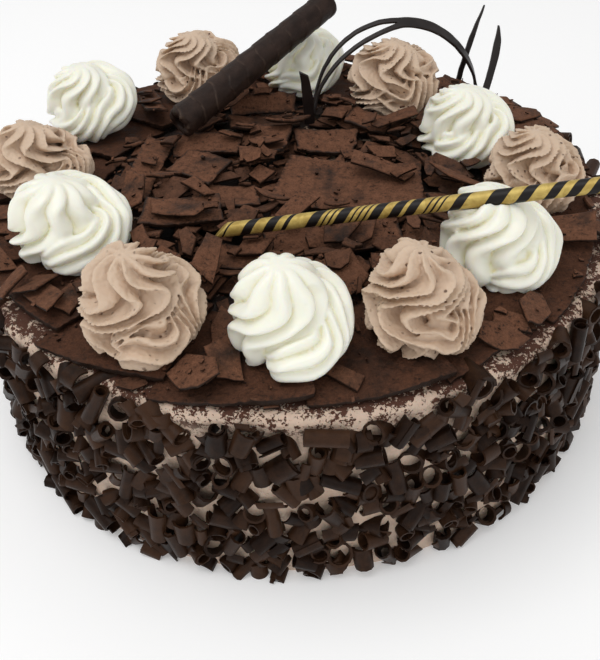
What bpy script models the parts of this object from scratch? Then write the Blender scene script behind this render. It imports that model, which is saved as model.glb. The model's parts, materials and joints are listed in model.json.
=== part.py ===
"""Black forest cake: a cream-coated round cake with chocolate curls on its side.

Broken chocolate shards cover the top. A ring of piped rosettes stands on them,
with a chocolate cigar, a striped stick, an arch and three spikes.

Lengths are metres, angles are degrees, +Z is up and the origin is the centre
of the flat base. Design values whose name ends in _MM are millimetres.
"""

import math
import random
from dataclasses import dataclass

import bmesh
import bpy
from mathutils import Euler, Matrix, Vector, noise
from mathutils.bvhtree import BVHTree
from mathutils.geometry import interpolate_bezier

MM = 0.001
GAP = 0.0003  # clearance left between neighbouring pieces

# Cake body
CAKE_RADIUS = 0.1225
CAKE_HEIGHT = 0.0760
CAKE_EDGE = 0.0040
CAKE_STEPS = 72
CAKE_EDGE_STEPS = 3

# Coat of chocolate curls round the side
COAT_THICKNESS = 0.0045
COAT_TOP = 0.0765
COAT_ROUGHNESS = 0.0013  # how far the outer face swells and sinks
COAT_TOP_ROUGHNESS = 0.0030
COAT_SEGMENTS = 84
COAT_NOISE_SCALE = 70.0
COAT_CREST_OFFSET = 7.0  # keeps the top edge's unevenness apart from the face's
COAT_CREST = 0.45  # place of the highest line, as a share of the thickness
COAT_WAIST = 0.45  # height of the outer face's middle row, as a share of the cake's

# Bed of small shards under the large ones
BED_BASE = CAKE_HEIGHT + GAP
BED_THICKNESS = 0.0024
BED_CROWN = 0.0012  # extra height in the middle
BED_RADIUS = 0.0700
BED_ROUGHNESS = 0.0004
BED_OUTLINE_ROUGHNESS = 0.0020
BED_STEPS = 40
BED_RINGS = (0.0, 0.2, 0.4, 0.6, 0.8, 0.96)  # rings of vertices on top, as shares of the radius
BED_SHOULDER = 0.4  # fall of the rounded edge, as a share of the thickness
BED_OUTLINE_SCALE = 3.1
BED_NOISE_SCALE = 140.0

# Large shards
SHARD_THICKNESS = 0.0014
SHARD_CELLS = (4, 3)
SHARD_CORNER_SPREAD = 0.16  # corner shift, as a share of half the side
SHARD_BOW = 0.05  # sag of the long side, as a share of the length
SHARD_BOW_LENGTH = 0.030  # a longer side sags no further than this length would
SHARD_START = 0.160  # height from which the shards are lowered
SETTLE_GAP = 0.0005
SETTLE_PITCH = 0.0015  # spacing of the rays that find the first contact
SETTLE_INSET = 0.995  # keeps the rays at a piece's own corners just inside it

# Ring of shards on the rim, under the rosettes, each lapped over the next
RIM_COUNT = 16
RIM_SEED = 100
RIM_INNER = 0.0745
RIM_INNER_JITTER = 0.0035
RIM_OUTER = 0.1165
RIM_OUTER_JITTER = 0.0050
RIM_LAP = 0.0030  # how far a shard reaches over the next one
RIM_SEAM_SHIFT = 0.15  # how far an edge wanders, as a share of the pitch
RIM_SEAM_SLANT = 0.25  # how far its outer end leads the inner one, as a share of the pitch
RIM_RISE = 0.0023  # height gained from the covered side to the covering side
RIM_JITTER = 0.00012  # unevenness of the corners' heights
RIM_THICKNESS = 0.0013

# Piped rosettes
ROSETTE_BASE = 0.0802
ROSETTE_COLUMNS_PER_RIDGE = 3
ROSETTE_RIDGES = 8
ROSETTE_BELLY = 0.28  # height share of the widest place
ROSETTE_FOOT = 0.88  # width share at the foot
ROSETTE_FLATNESS = 3.2  # power that holds the dome full up to its shoulder
ROSETTE_SHOULDER = 0.5  # power that rounds the dome off above it
ROSETTE_HEIGHTS = (1.0, 0.95, 0.84, 0.68, 0.50, 0.32, 0.14, 0.0)  # rows of vertices
ROSETTE_TWIST = 130.0
ROSETTE_RIDGE_DEPTH = 0.11
ROSETTE_TIER_DEPTH = 0.05
ROSETTE_TIERS = 1.5

# Chocolate cigar
CIGAR_LOW_RADIUS = 0.0068
CIGAR_HIGH_RADIUS = 0.0058
CIGAR_ROUNDING = 0.0022
CIGAR_SIDES = 20

# Striped stick
STICK_RADIUS = 0.0025
STICK_LENGTH = 0.150
STICK_SLANT = 1.3  # length of the cut end, in stick radii
STICK_SIDES = 16

# Arch and spikes
RIBBON_THICKNESS = 0.0013
ARCH_STRAND = (0.0019, 0.0028)  # width of one strand at the left and right feet
ARCH_SLIT = 0.0050  # widest opening between the two strands
ARCH_SEAM = 0.0003
ARCH_STEPS = 22
ARCH_SLIT_SPAN = (0.06, 0.52)  # where the slit starts and ends along the arch
ARCH_SLIT_FULLNESS = 0.7  # power of the slit's opening along its length
SPIKE_STEPS = 8
SPIKE_ACROSS = (1.0, 0.15, 0.0)  # direction across a blade

CHOCOLATE = (0.036, 0.024, 0.020)
DARK_CHOCOLATE = (0.020, 0.013, 0.011)
COCOA = (0.095, 0.044, 0.028)
WHITE_CREAM = (0.82, 0.80, 0.69)
COCOA_CREAM = (0.45, 0.32, 0.23)
COAT_CREAM = (0.58, 0.43, 0.34)
GOLD = (0.50, 0.34, 0.09)


@dataclass(frozen=True)
class Rosette:
    """A piped rosette: its place on the ring, its width and its height."""

    kind: str
    angle: float
    ring_mm: float
    width_mm: float
    height_mm: float


ROSETTES = (
    Rosette("chocolate", 175.8, 97.5, 38.9, 27.5),
    Rosette("white", 204.6, 85.8, 42.5, 28.0),
    Rosette("chocolate", 241.1, 98.0, 39.3, 31.0),
    Rosette("white", 268.7, 93.4, 39.0, 30.5),
    Rosette("chocolate", 294.1, 94.4, 38.3, 31.0),
    Rosette("white", 320.6, 88.6, 40.6, 30.0),
    Rosette("chocolate", 350.9, 91.1, 38.1, 26.5),
    Rosette("white", 16.8, 73.9, 39.2, 27.0),
    Rosette("chocolate", 55.4, 82.0, 41.0, 28.0),
    Rosette("white", 85.3, 92.7, 38.6, 25.0),
    Rosette("chocolate", 115.0, 98.2, 40.8, 27.0),
    Rosette("white", 146.2, 103.0, 40.0, 27.5),
)


@dataclass(frozen=True)
class Shard:
    """A broken plate: centre and size in millimetres, then its three turns."""

    x: float
    y: float
    length: float
    width: float
    turn: float
    pitch: float
    roll: float


SHARDS = (
    Shard(22, -5, 54, 34, -8, 1, 2),
    Shard(14, 31, 28, 17, 0, 3, 5),
    Shard(-34, 31, 27, 15, -5, -4, 6),
    Shard(-24, -9, 24, 16, 3, 4, -5),
    Shard(-8, 26, 26, 16, 80, 5, -4),
    Shard(-37, 9, 26, 17, -38, -6, 5),
    Shard(14, -39, 46, 15, 4, -3, 6),
    Shard(-40, -25, 32, 18, 8, 4, 4),
    Shard(-20, -48, 28, 14, -12, -5, 5),
    Shard(-58, 12, 48, 11, 83, 3, 16),
    Shard(-12, 51, 28, 15, 4, 3, -6),
    Shard(34, 41, 20, 12, -30, 4, 8),
    Shard(-61.5, 68, 34, 10, 104, 14, 8),
    Shard(57, -22, 16, 12, 40, 24, 6),
    Shard(-14, 65, 30, 9, 2, 0, 50),
    Shard(108, -38, 15, 12, 62, 18, 8),
)


@dataclass(frozen=True)
class Spike:
    """A thin blade in millimetres: foot, middle, tip, its widths there and its slanting cut."""

    name: str
    foot: tuple
    middle: tuple
    tip: tuple
    widths: tuple
    cut: float


SPIKES = (
    Spike(
        "spike_tall", (78.5, 84.0, 80.6), (82.2, 85.5, 97.0), (88.0, 88.0, 115.0),
        (2.4, 2.6, 0.5), 0.0,
    ),
    Spike(
        "spike_slim", (88.5, 71.5, 80.6), (93.2, 78.5, 96.5), (93.8, 82.0, 108.0),
        (3.2, 3.6, 0.5), 0.0,
    ),
    Spike(
        "spike_short", (8.4, 51.0, 79.9), (7.6, 50.6, 94.0), (6.2, 50.0, 104.5),
        (4.6, 4.4, 3.6), 2.6,
    ),
)

CIGAR_LOW_MM = (-46.6, 33.0, 90.8)
CIGAR_HIGH_MM = (19.4, 93.4, 117.2)
STICK_LOW_MM = (-28.8, -40.2, 87.2)
STICK_OVER_ROSETTE_MM = (64.4, -61.4, 110.0)
ARCH_FOOT_LEFT_MM = (10.6, 61.4, 80.4)
ARCH_APEX_MM = (49.0, 82.5, 110.6)
ARCH_FOOT_RIGHT_MM = (85.8, 77.0, 80.7)
ARCH_LEFT_RISE_MM = (2.5, 10.0, 20.0)  # handle above the left foot
ARCH_RIGHT_RISE_MM = (-2.0, 3.0, 18.0)
ARCH_APEX_REACH_MM = (17.0, 2.0, 1.5)  # half handle along the top
ARCH_ACROSS = (-0.05, 0.87, 0.48)  # direction from the front strand to the rear one


def clear_scene():
    """Remove every object that the file holds."""
    for old in list(bpy.data.objects):
        bpy.data.objects.remove(old, do_unlink=True)


def new_collection(name):
    """Add a collection to the scene."""
    collection = bpy.data.collections.new(name)
    bpy.context.scene.collection.children.link(collection)
    return collection


def new_material(name, colour, roughness, metallic=0.0):
    """Make a plain Principled material."""
    material = bpy.data.materials.new(name)
    material.use_nodes = True
    shader = material.node_tree.nodes["Principled BSDF"]
    shader.inputs["Base Color"].default_value = (*colour, 1.0)
    shader.inputs["Roughness"].default_value = roughness
    shader.inputs["Metallic"].default_value = metallic
    return material


def add_object(name, mesh, collection, material):
    """Put a mesh in the collection as a named object with one material."""
    obj = bpy.data.objects.new(name, mesh)
    collection.objects.link(obj)
    mesh.materials.clear()
    mesh.materials.append(material)
    return obj


def mesh_from(name, bm):
    """Turn a bmesh into a mesh and free it."""
    mesh = bpy.data.meshes.new(name)
    bm.to_mesh(mesh)
    bm.free()
    return mesh


def apply_modifiers(obj):
    """Replace an object's mesh by its evaluated mesh."""
    graph = bpy.context.evaluated_depsgraph_get()
    result = bpy.data.meshes.new_from_object(obj.evaluated_get(graph))
    obj.modifiers.clear()
    obj.data = result


def shade(obj, angle=50.0):
    """Smooth the faces that meet at less than the angle."""
    obj.data.shade_smooth()
    obj.data.set_sharp_from_angle(angle=math.radians(angle))


def turned(name, profile, steps, collection, material):
    """Turn a profile of (radius, height), listed outer side top to bottom."""
    bm = bmesh.new()
    verts = [bm.verts.new((radius, 0.0, height)) for radius, height in profile]
    for first, second in zip(verts, verts[1:]):
        bm.edges.new((first, second))
    obj = add_object(name, mesh_from(name, bm), collection, material)
    screw = obj.modifiers.new("turn", "SCREW")
    screw.steps = steps
    screw.render_steps = steps
    screw.use_merge_vertices = True
    screw.merge_threshold = 0.00001
    apply_modifiers(obj)
    return obj


def move_vertices(obj, rule):
    """Replace each vertex by rule(position)."""
    for vertex in obj.data.vertices:
        vertex.co = rule(vertex.co.copy())
    obj.data.update()


def build_cake(collection, material):
    """The cream-coated cake: a flat-based disc with a rounded top edge."""
    centre = CAKE_RADIUS - CAKE_EDGE
    profile = [(0.0, CAKE_HEIGHT)]
    for step in range(CAKE_EDGE_STEPS + 1):
        angle = math.radians(90.0 * (1.0 - step / CAKE_EDGE_STEPS))
        radius = centre + CAKE_EDGE * math.cos(angle)
        height = CAKE_HEIGHT - CAKE_EDGE * (1.0 - math.sin(angle))
        profile.append((radius, height))
    profile += [(CAKE_RADIUS, 0.0), (0.0, 0.0)]
    cake = turned("cake", profile, CAKE_STEPS, collection, material)
    shade(cake)
    return cake


def coat_section(row, angle):
    """One point of the coat's section: rows run inner foot, inner top, then out and down."""
    direction = Vector((math.cos(angle), math.sin(angle), 0.0))
    swell = noise.noise(direction * CAKE_RADIUS * COAT_NOISE_SCALE + Vector((0.0, 0.0, row)))
    above = Vector((0.0, 0.0, COAT_CREST_OFFSET))
    crest = noise.noise(direction * CAKE_RADIUS * COAT_NOISE_SCALE - above)
    inner = CAKE_RADIUS + GAP
    outer = inner + COAT_THICKNESS + COAT_ROUGHNESS * swell
    top = COAT_TOP + COAT_TOP_ROUGHNESS * crest
    rows = (
        (inner, 0.0),
        (inner, CAKE_HEIGHT - CAKE_EDGE),
        (inner + COAT_THICKNESS * COAT_CREST, top),
        (outer, top - COAT_THICKNESS),
        (outer, CAKE_HEIGHT * COAT_WAIST),
        (outer, 0.0),
    )
    radius, height = rows[row]
    return direction * radius + Vector((0.0, 0.0, height))


def build_side_curls(collection, material):
    """The coat of curls, as one ring out to its uneven outline."""
    rows = 6
    bpy.ops.mesh.primitive_torus_add(
        major_segments=COAT_SEGMENTS,
        minor_segments=rows,
        major_radius=CAKE_RADIUS,
        minor_radius=COAT_THICKNESS,
    )
    ring = bpy.context.object
    mesh = ring.data.copy()
    bpy.data.objects.remove(ring)
    coat = add_object("side_curls", mesh, collection, material)

    def to_section(point):
        across = math.hypot(point.x, point.y) - CAKE_RADIUS
        minor = math.atan2(point.z, -across) % math.tau
        row = round(minor / math.tau * rows) % rows
        return coat_section(row, math.atan2(point.y, point.x))

    move_vertices(coat, to_section)
    shade(coat)
    return coat


def build_shard_bed(collection, material):
    """The heap of small shards in the middle, as one low uneven mound."""
    top = BED_BASE + BED_THICKNESS
    shoulder = top - BED_THICKNESS * BED_SHOULDER
    profile = [(BED_RADIUS * share, top) for share in BED_RINGS]
    profile += [(BED_RADIUS, shoulder), (BED_RADIUS, BED_BASE), (0.0, BED_BASE)]
    bed = turned("shard_bed", profile, BED_STEPS, collection, material)

    def uneven(point):
        reach = math.hypot(point.x, point.y) / BED_RADIUS
        outline = noise.noise(Vector((point.x, point.y, 0.0)).normalized() * BED_OUTLINE_SCALE)
        widen = 1.0 + reach * BED_OUTLINE_ROUGHNESS / BED_RADIUS * outline
        flat = Vector((point.x * widen, point.y * widen, point.z))
        if point.z > BED_BASE + BED_THICKNESS / 2.0:
            bump = noise.noise(Vector((point.x, point.y, 0.0)) * BED_NOISE_SCALE)
            flat.z += BED_CROWN * max(0.0, 1.0 - reach) + BED_ROUGHNESS * bump
        return flat

    move_vertices(bed, uneven)
    shade(bed, 20.0)
    return bed


def corner_map(corners, across, along):
    """Read a four-cornered outline at across and along, each from 0 to 1."""
    near = corners[0].lerp(corners[1], across)
    far = corners[3].lerp(corners[2], across)
    return near.lerp(far, along)


def plate(name, thickness, place, collection, material):
    """A thin closed plate whose middle sheet is place(across, along)."""
    bm = bmesh.new()
    bmesh.ops.create_grid(bm, x_segments=SHARD_CELLS[0], y_segments=SHARD_CELLS[1], size=0.5)
    for vertex in bm.verts:
        vertex.co = place(vertex.co.x + 0.5, vertex.co.y + 0.5)
    obj = add_object(name, mesh_from(name, bm), collection, material)
    solid = obj.modifiers.new("thickness", "SOLIDIFY")
    solid.thickness = thickness
    solid.offset = 0.0
    apply_modifiers(obj)
    return obj


def shard_corners(shard, chance):
    """The four uneven corners of a shard, counter-clockwise, round its centre."""
    half = Vector((shard.length, shard.width)) * MM / 2.0
    corners = []
    for side_x, side_y in ((-1, -1), (1, -1), (1, 1), (-1, 1)):
        shift_x = chance.uniform(-SHARD_CORNER_SPREAD, SHARD_CORNER_SPREAD)
        shift_y = chance.uniform(-SHARD_CORNER_SPREAD, SHARD_CORNER_SPREAD)
        corners.append(Vector((half.x * (side_x + shift_x), half.y * (side_y + shift_y), 0.0)))
    return corners


def build_shard(number, shard, collection, material):
    """One large shard, turned and tilted, high above where it will settle."""
    chance = random.Random(number)
    corners = shard_corners(shard, chance)
    bow = SHARD_BOW * min(shard.length * MM, SHARD_BOW_LENGTH) * chance.choice((-1.0, 1.0))
    turns = (shard.roll, shard.pitch, shard.turn)
    rotation = Euler([math.radians(turn) for turn in turns]).to_matrix()
    centre = Vector((shard.x * MM, shard.y * MM, SHARD_START))

    def place(across, along):
        point = corner_map(corners, across, along)
        point.z = bow * (1.0 - (2.0 * across - 1.0) ** 2)
        return centre + rotation @ point

    return plate(f"shard_{number:02d}", SHARD_THICKNESS, place, collection, material)


def rim_edge(number):
    """The angles of a rim shard's edge at its inner and outer end; the last edge is the first."""
    chance = random.Random(number % RIM_COUNT)
    middle = number + chance.uniform(-RIM_SEAM_SHIFT, RIM_SEAM_SHIFT)
    slant = chance.uniform(-RIM_SEAM_SLANT, RIM_SEAM_SLANT) / 2.0
    pitch = math.tau / RIM_COUNT
    return pitch * (middle - slant), pitch * (middle + slant)


def build_rim_shard(number, collection, material):
    """One shard of the ring on the rim: it starts low and ends lapped over the next one."""
    chance = random.Random(RIM_SEED + number)
    start, end = rim_edge(number), rim_edge(number + 1)
    inner = [RIM_INNER + chance.uniform(0.0, RIM_INNER_JITTER) for _ in range(2)]
    outer = [RIM_OUTER + chance.uniform(-RIM_OUTER_JITTER, RIM_OUTER_JITTER) for _ in range(2)]
    uneven = [chance.uniform(0.0, RIM_JITTER) for _ in range(4)]

    def place(across, along):
        near = inner[0] + (inner[1] - inner[0]) * across
        far = outer[0] + (outer[1] - outer[0]) * across
        radius = near + (far - near) * along
        first = start[0] + (start[1] - start[0]) * along
        last = end[0] + (end[1] - end[0]) * along + RIM_LAP / radius
        angle = first + (last - first) * across
        low = uneven[0] + (uneven[1] - uneven[0]) * across
        high = uneven[2] + (uneven[3] - uneven[2]) * across
        lift = RIM_RISE * across + low + (high - low) * along
        height = BED_BASE + RIM_THICKNESS / 2.0 + lift
        return Vector((radius * math.cos(angle), radius * math.sin(angle), height))

    return plate(f"rim_shard_{number + 1:02d}", RIM_THICKNESS, place, collection, material)


def surface_tree(objects):
    """One search tree over the faces of several objects."""
    points, faces = [], []
    for obj in objects:
        first = len(points)
        points += [obj.matrix_world @ vertex.co for vertex in obj.data.vertices]
        faces += [[first + index for index in face.vertices] for face in obj.data.polygons]
    return BVHTree.FromPolygons(points, faces)


def probe_points(obj):
    """Places in plan where a piece is probed: its own corners and a fine grid."""
    corners = [vertex.co.xy for vertex in obj.data.vertices]
    middle = sum(corners, Vector((0.0, 0.0))) / len(corners)
    points = [middle.lerp(corner, SETTLE_INSET) for corner in corners]
    low = Vector((min(corner.x for corner in corners), min(corner.y for corner in corners)))
    high = Vector((max(corner.x for corner in corners), max(corner.y for corner in corners)))
    columns = math.ceil((high.x - low.x) / SETTLE_PITCH)
    rows = math.ceil((high.y - low.y) / SETTLE_PITCH)
    for column in range(columns + 1):
        for row in range(rows + 1):
            points.append(low + Vector((column, row)) * SETTLE_PITCH)
    return points


def settle(obj, below):
    """Lower an object straight down until it rests, with a gap, on what lies below."""
    piece, stack = surface_tree([obj]), surface_tree(below)
    drop = math.inf
    for point in probe_points(obj):
        under = piece.ray_cast(point.to_3d(), Vector((0.0, 0.0, 1.0)))[0]
        floor = under and stack.ray_cast(under, Vector((0.0, 0.0, -1.0)))[0]
        if floor:
            drop = min(drop, under.z - floor.z)
    obj.data.transform(Matrix.Translation((0.0, 0.0, SETTLE_GAP - drop)))


def build_shards(bed, collection, material):
    """The rim ring, then the large shards, each settled on those before it."""
    rim = [build_rim_shard(number, collection, material) for number in range(RIM_COUNT)]
    below = [bed, *rim]
    for number, shard in enumerate(SHARDS, start=1):
        piece = build_shard(number, shard, collection, material)
        settle(piece, below)
        below.append(piece)
    for piece in below[1:]:
        shade(piece)


def rosette_outline(share):
    """Width share of a rosette at a height share: full near the foot, then a dome."""
    if share < ROSETTE_BELLY:
        swell = math.sin(math.pi / 2.0 * share / ROSETTE_BELLY)
        return ROSETTE_FOOT + (1.0 - ROSETTE_FOOT) * swell
    above = (share - ROSETTE_BELLY) / (1.0 - ROSETTE_BELLY)
    return (1.0 - above**ROSETTE_FLATNESS) ** ROSETTE_SHOULDER


def rosette_rows():
    """(height share, width share) of each row of vertices, from the top point down."""
    return [(height, rosette_outline(height)) for height in ROSETTE_HEIGHTS] + [(0.0, 0.0)]


def build_rosette(number, rosette, collection, material):
    """A rosette: a sphere drawn out into ridges that wind up to a point."""
    columns = ROSETTE_RIDGES * ROSETTE_COLUMNS_PER_RIDGE
    rows = rosette_rows()
    centre_angle = math.radians(rosette.angle)
    centre = Vector((math.cos(centre_angle), math.sin(centre_angle), 0.0)) * rosette.ring_mm * MM
    radius = rosette.width_mm * MM / 2.0 / (1.0 + ROSETTE_RIDGE_DEPTH)
    start = random.Random(number).uniform(0.0, math.tau)
    bm = bmesh.new()
    bmesh.ops.create_uvsphere(bm, u_segments=columns, v_segments=len(rows) - 1, radius=1.0)
    for vertex in bm.verts:
        polar = math.acos(max(-1.0, min(1.0, vertex.co.z)))
        row = round(polar / math.pi * (len(rows) - 1))
        height, width = rows[row]
        column = round(math.atan2(vertex.co.y, vertex.co.x) / math.tau * columns)
        around = column / columns * math.tau
        winding = around + start + math.radians(ROSETTE_TWIST) * height
        ridge = ROSETTE_RIDGE_DEPTH * math.cos(ROSETTE_RIDGES * around)
        tier = ROSETTE_TIER_DEPTH * math.cos(winding - math.tau * ROSETTE_TIERS * height)
        reach = radius * width * (1.0 + ridge + tier * height)
        vertex.co = centre + Vector((
            reach * math.cos(winding),
            reach * math.sin(winding),
            ROSETTE_BASE + rosette.height_mm * MM * height,
        ))
    name = f"{rosette.kind}_rosette_{number}"
    obj = add_object(name, mesh_from(name, bm), collection, material)
    shade(obj, 60.0)
    return obj


def build_rosettes(collection, materials):
    """The ring of rosettes, white and chocolate in turn."""
    count = {"white": 0, "chocolate": 0}
    rosettes = {}
    for rosette in ROSETTES:
        count[rosette.kind] += 1
        number = count[rosette.kind]
        obj = build_rosette(number, rosette, collection, materials[rosette.kind])
        rosettes[obj.name] = obj
    return rosettes


def along_axis(low, high):
    """The matrix that stands +Z along the line from low to high, centred between them."""
    axis = high - low
    turn = axis.to_track_quat("Z", "Y").to_matrix().to_4x4()
    return Matrix.Translation((low + high) / 2.0) @ turn


def rod(name, low, high, radii, sides, collection, material):
    """A straight round rod from low to high, with a radius for each end."""
    bm = bmesh.new()
    bmesh.ops.create_cone(
        bm, cap_ends=True, segments=sides, radius1=radii[0], radius2=radii[1],
        depth=(high - low).length,
    )
    return add_object(name, mesh_from(name, bm), collection, material), along_axis(low, high)


def build_cigar(collection, material):
    """The rolled chocolate cigar: a tapered rod with rounded ends."""
    low, high = Vector(CIGAR_LOW_MM) * MM, Vector(CIGAR_HIGH_MM) * MM
    radii = (CIGAR_LOW_RADIUS, CIGAR_HIGH_RADIUS)
    cigar, matrix = rod("chocolate_cigar", low, high, radii, CIGAR_SIDES, collection, material)
    bevel = cigar.modifiers.new("rounding", "BEVEL")
    bevel.width = CIGAR_ROUNDING
    bevel.segments = 2
    bevel.limit_method = "ANGLE"
    bevel.angle_limit = math.radians(60.0)
    apply_modifiers(cigar)
    cigar.data.transform(matrix)
    shade(cigar)


def stick_ends():
    """Both ends of the striped stick: it starts on the shards and rises over a rosette."""
    low = Vector(STICK_LOW_MM) * MM
    direction = (Vector(STICK_OVER_ROSETTE_MM) * MM - low).normalized()
    return low, low + direction * STICK_LENGTH


def build_striped_stick(collection, material):
    """The thin striped stick, with its low end cut on a slant."""
    low, high = stick_ends()
    radii = (STICK_RADIUS, STICK_RADIUS)
    stick, matrix = rod("striped_stick", low, high, radii, STICK_SIDES, collection, material)

    def slant(point):
        if point.z < 0.0:
            point.z += STICK_SLANT * (point.y + STICK_RADIUS)
        return point

    move_vertices(stick, slant)
    stick.data.transform(matrix)
    shade(stick)


def dent(rosette, cutters):
    """Press the striped stick's groove into the rosette that carries it."""
    low, high = stick_ends()
    radius = STICK_RADIUS + GAP
    cutter, matrix = rod(
        "stick_groove_cutter", low, high, (radius, radius), STICK_SIDES, cutters,
        rosette.data.materials[0],
    )
    cutter.data.transform(matrix)
    cutter.hide_render = True
    cutter.display_type = "WIRE"
    cut = rosette.modifiers.new("groove", "BOOLEAN")
    cut.operation = "DIFFERENCE"
    cut.solver = "EXACT"
    cut.object = cutter


def ribbon(name, lines, filled, collection, material):
    """A thin closed band through rows of points; filled says which cells hold chocolate."""
    bm = bmesh.new()
    rows = [[bm.verts.new(point) for point in line] for line in lines]
    for step, (this, after) in enumerate(zip(rows, rows[1:])):
        for cell in range(len(this) - 1):
            if filled(step, cell):
                bm.faces.new((this[cell], this[cell + 1], after[cell + 1], after[cell]))
    obj = add_object(name, mesh_from(name, bm), collection, material)
    solid = obj.modifiers.new("thickness", "SOLIDIFY")
    solid.thickness = RIBBON_THICKNESS
    solid.offset = 0.0
    apply_modifiers(obj)
    shade(obj)
    return obj


def arch_path():
    """Points along the arch, from its left foot over the apex to its right foot."""
    left, apex, right = (
        Vector(point) * MM for point in (ARCH_FOOT_LEFT_MM, ARCH_APEX_MM, ARCH_FOOT_RIGHT_MM)
    )
    reach = Vector(ARCH_APEX_REACH_MM) * MM
    half = ARCH_STEPS // 2
    rise_left, rise_right = Vector(ARCH_LEFT_RISE_MM) * MM, Vector(ARCH_RIGHT_RISE_MM) * MM
    up = interpolate_bezier(left, left + rise_left, apex - reach, apex, half + 1)
    down = interpolate_bezier(apex, apex + reach, right + rise_right, right, half + 1)
    return up + down[1:]


def build_arch(collection, material):
    """The arch: two strands that share a foot and join past the top."""
    path = arch_path()
    first, last = (round(share * ARCH_STEPS) for share in ARCH_SLIT_SPAN)
    lines = []
    for step, point in enumerate(path):
        share = (step - first) / (last - first)
        slit = ARCH_SEAM
        if 0.0 < share < 1.0:
            slit += ARCH_SLIT * math.sin(math.pi * share) ** ARCH_SLIT_FULLNESS
        across = Vector(ARCH_ACROSS).normalized()
        strand = ARCH_STRAND[0] + (ARCH_STRAND[1] - ARCH_STRAND[0]) * step / ARCH_STEPS
        offsets = (-slit / 2.0 - strand, -slit / 2.0, slit / 2.0, slit / 2.0 + strand)
        lines.append([point + across * offset for offset in offsets])

    def filled(step, cell):
        return cell != 1 or not first <= step < last

    ribbon("arch", lines, filled, collection, material)


def build_spike(spike, collection, material):
    """A blade, flat to the front, that narrows to its tip or ends in a slanting cut."""
    foot, middle, tip = (Vector(point) * MM for point in (spike.foot, spike.middle, spike.tip))
    bend = (middle - (foot + tip) / 4.0) * 4.0 / 3.0
    path = interpolate_bezier(
        foot, foot / 3.0 + bend, tip / 3.0 + bend, tip, SPIKE_STEPS + 1
    )
    foot_width, middle_width, tip_width = spike.widths
    lines = []
    for step, point in enumerate(path):
        share = step / SPIKE_STEPS
        belly = foot_width + (middle_width - foot_width) * share * 2.0
        taper = middle_width * (1.0 - (2.0 * share - 1.0) ** 2)
        width = belly if share < 0.5 else max(taper, tip_width)
        across = Vector(SPIKE_ACROSS).normalized() * width * MM / 2.0
        lines.append([point - across, point + across])
    lines[-1][1].z -= spike.cut * MM
    ribbon(spike.name, lines, lambda step, cell: True, collection, material)


def main():
    """Build every piece of the cake."""
    clear_scene()
    parts = new_collection("black_forest_cake")
    cutters = new_collection("cutters")
    chocolate = new_material("chocolate", CHOCOLATE, 0.45)
    dark = new_material("dark_chocolate", DARK_CHOCOLATE, 0.40)
    cocoa = new_material("cocoa_dusted", COCOA, 0.85)
    creams = {
        "white": new_material("white_cream", WHITE_CREAM, 0.35),
        "chocolate": new_material("chocolate_cream", COCOA_CREAM, 0.60),
    }
    build_cake(parts, new_material("coating_cream", COAT_CREAM, 0.60))
    build_side_curls(parts, chocolate)
    bed = build_shard_bed(parts, cocoa)
    build_shards(bed, parts, cocoa)
    rosettes = build_rosettes(parts, creams)
    dent(rosettes["white_rosette_3"], cutters)
    build_cigar(parts, chocolate)
    build_striped_stick(parts, new_material("gold_stripes", GOLD, 0.35, 0.3))
    build_arch(parts, dark)
    for spike in SPIKES:
        build_spike(spike, parts, dark)


main()
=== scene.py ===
"""Black forest cake in its finished looks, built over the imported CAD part.

The cream body, the coat of rolled curls, the broken shards, the piped rosettes and
the chocolate decorations each take their place and size from their CAD nodes.
Lengths are metres and angles are degrees unless a name says otherwise.
"""

import json
import logging
import math
from dataclasses import dataclass
from enum import Enum
from typing import Callable, Iterable

import bmesh
import bpy
import numpy as np
from mathutils import Euler, Matrix, Vector, noise
from mathutils.bvhtree import BVHTree

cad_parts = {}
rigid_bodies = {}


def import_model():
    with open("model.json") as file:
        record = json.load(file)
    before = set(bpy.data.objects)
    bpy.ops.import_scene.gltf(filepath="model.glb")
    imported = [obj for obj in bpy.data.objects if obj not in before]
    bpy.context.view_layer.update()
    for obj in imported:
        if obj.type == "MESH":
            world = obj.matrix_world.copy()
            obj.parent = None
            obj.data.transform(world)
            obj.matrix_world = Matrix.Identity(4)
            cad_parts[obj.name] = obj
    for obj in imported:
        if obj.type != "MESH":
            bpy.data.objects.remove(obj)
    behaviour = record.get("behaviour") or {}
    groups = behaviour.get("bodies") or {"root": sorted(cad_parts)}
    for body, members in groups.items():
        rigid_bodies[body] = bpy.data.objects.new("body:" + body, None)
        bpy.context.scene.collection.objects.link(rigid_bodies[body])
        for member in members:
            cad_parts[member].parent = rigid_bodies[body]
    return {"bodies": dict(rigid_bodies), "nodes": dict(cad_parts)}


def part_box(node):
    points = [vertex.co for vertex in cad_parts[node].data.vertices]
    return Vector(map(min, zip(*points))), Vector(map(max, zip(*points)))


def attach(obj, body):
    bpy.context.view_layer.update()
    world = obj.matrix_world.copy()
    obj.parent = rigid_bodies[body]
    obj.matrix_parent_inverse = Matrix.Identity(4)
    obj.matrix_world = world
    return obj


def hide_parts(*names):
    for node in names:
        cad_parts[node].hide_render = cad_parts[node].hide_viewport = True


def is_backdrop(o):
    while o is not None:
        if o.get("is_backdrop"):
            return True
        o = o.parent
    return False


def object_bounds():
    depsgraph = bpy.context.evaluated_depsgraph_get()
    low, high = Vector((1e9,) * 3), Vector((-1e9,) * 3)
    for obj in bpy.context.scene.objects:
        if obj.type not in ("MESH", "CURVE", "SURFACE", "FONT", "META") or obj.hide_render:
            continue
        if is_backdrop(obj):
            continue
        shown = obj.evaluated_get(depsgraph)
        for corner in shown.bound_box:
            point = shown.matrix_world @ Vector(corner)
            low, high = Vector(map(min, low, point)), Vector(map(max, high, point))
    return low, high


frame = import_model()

LOG = logging.getLogger("black_forest_cake")
BODY = "root"
UP = Vector((0.0, 0.0, 1.0))
NOISE_SEED = 7
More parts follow.
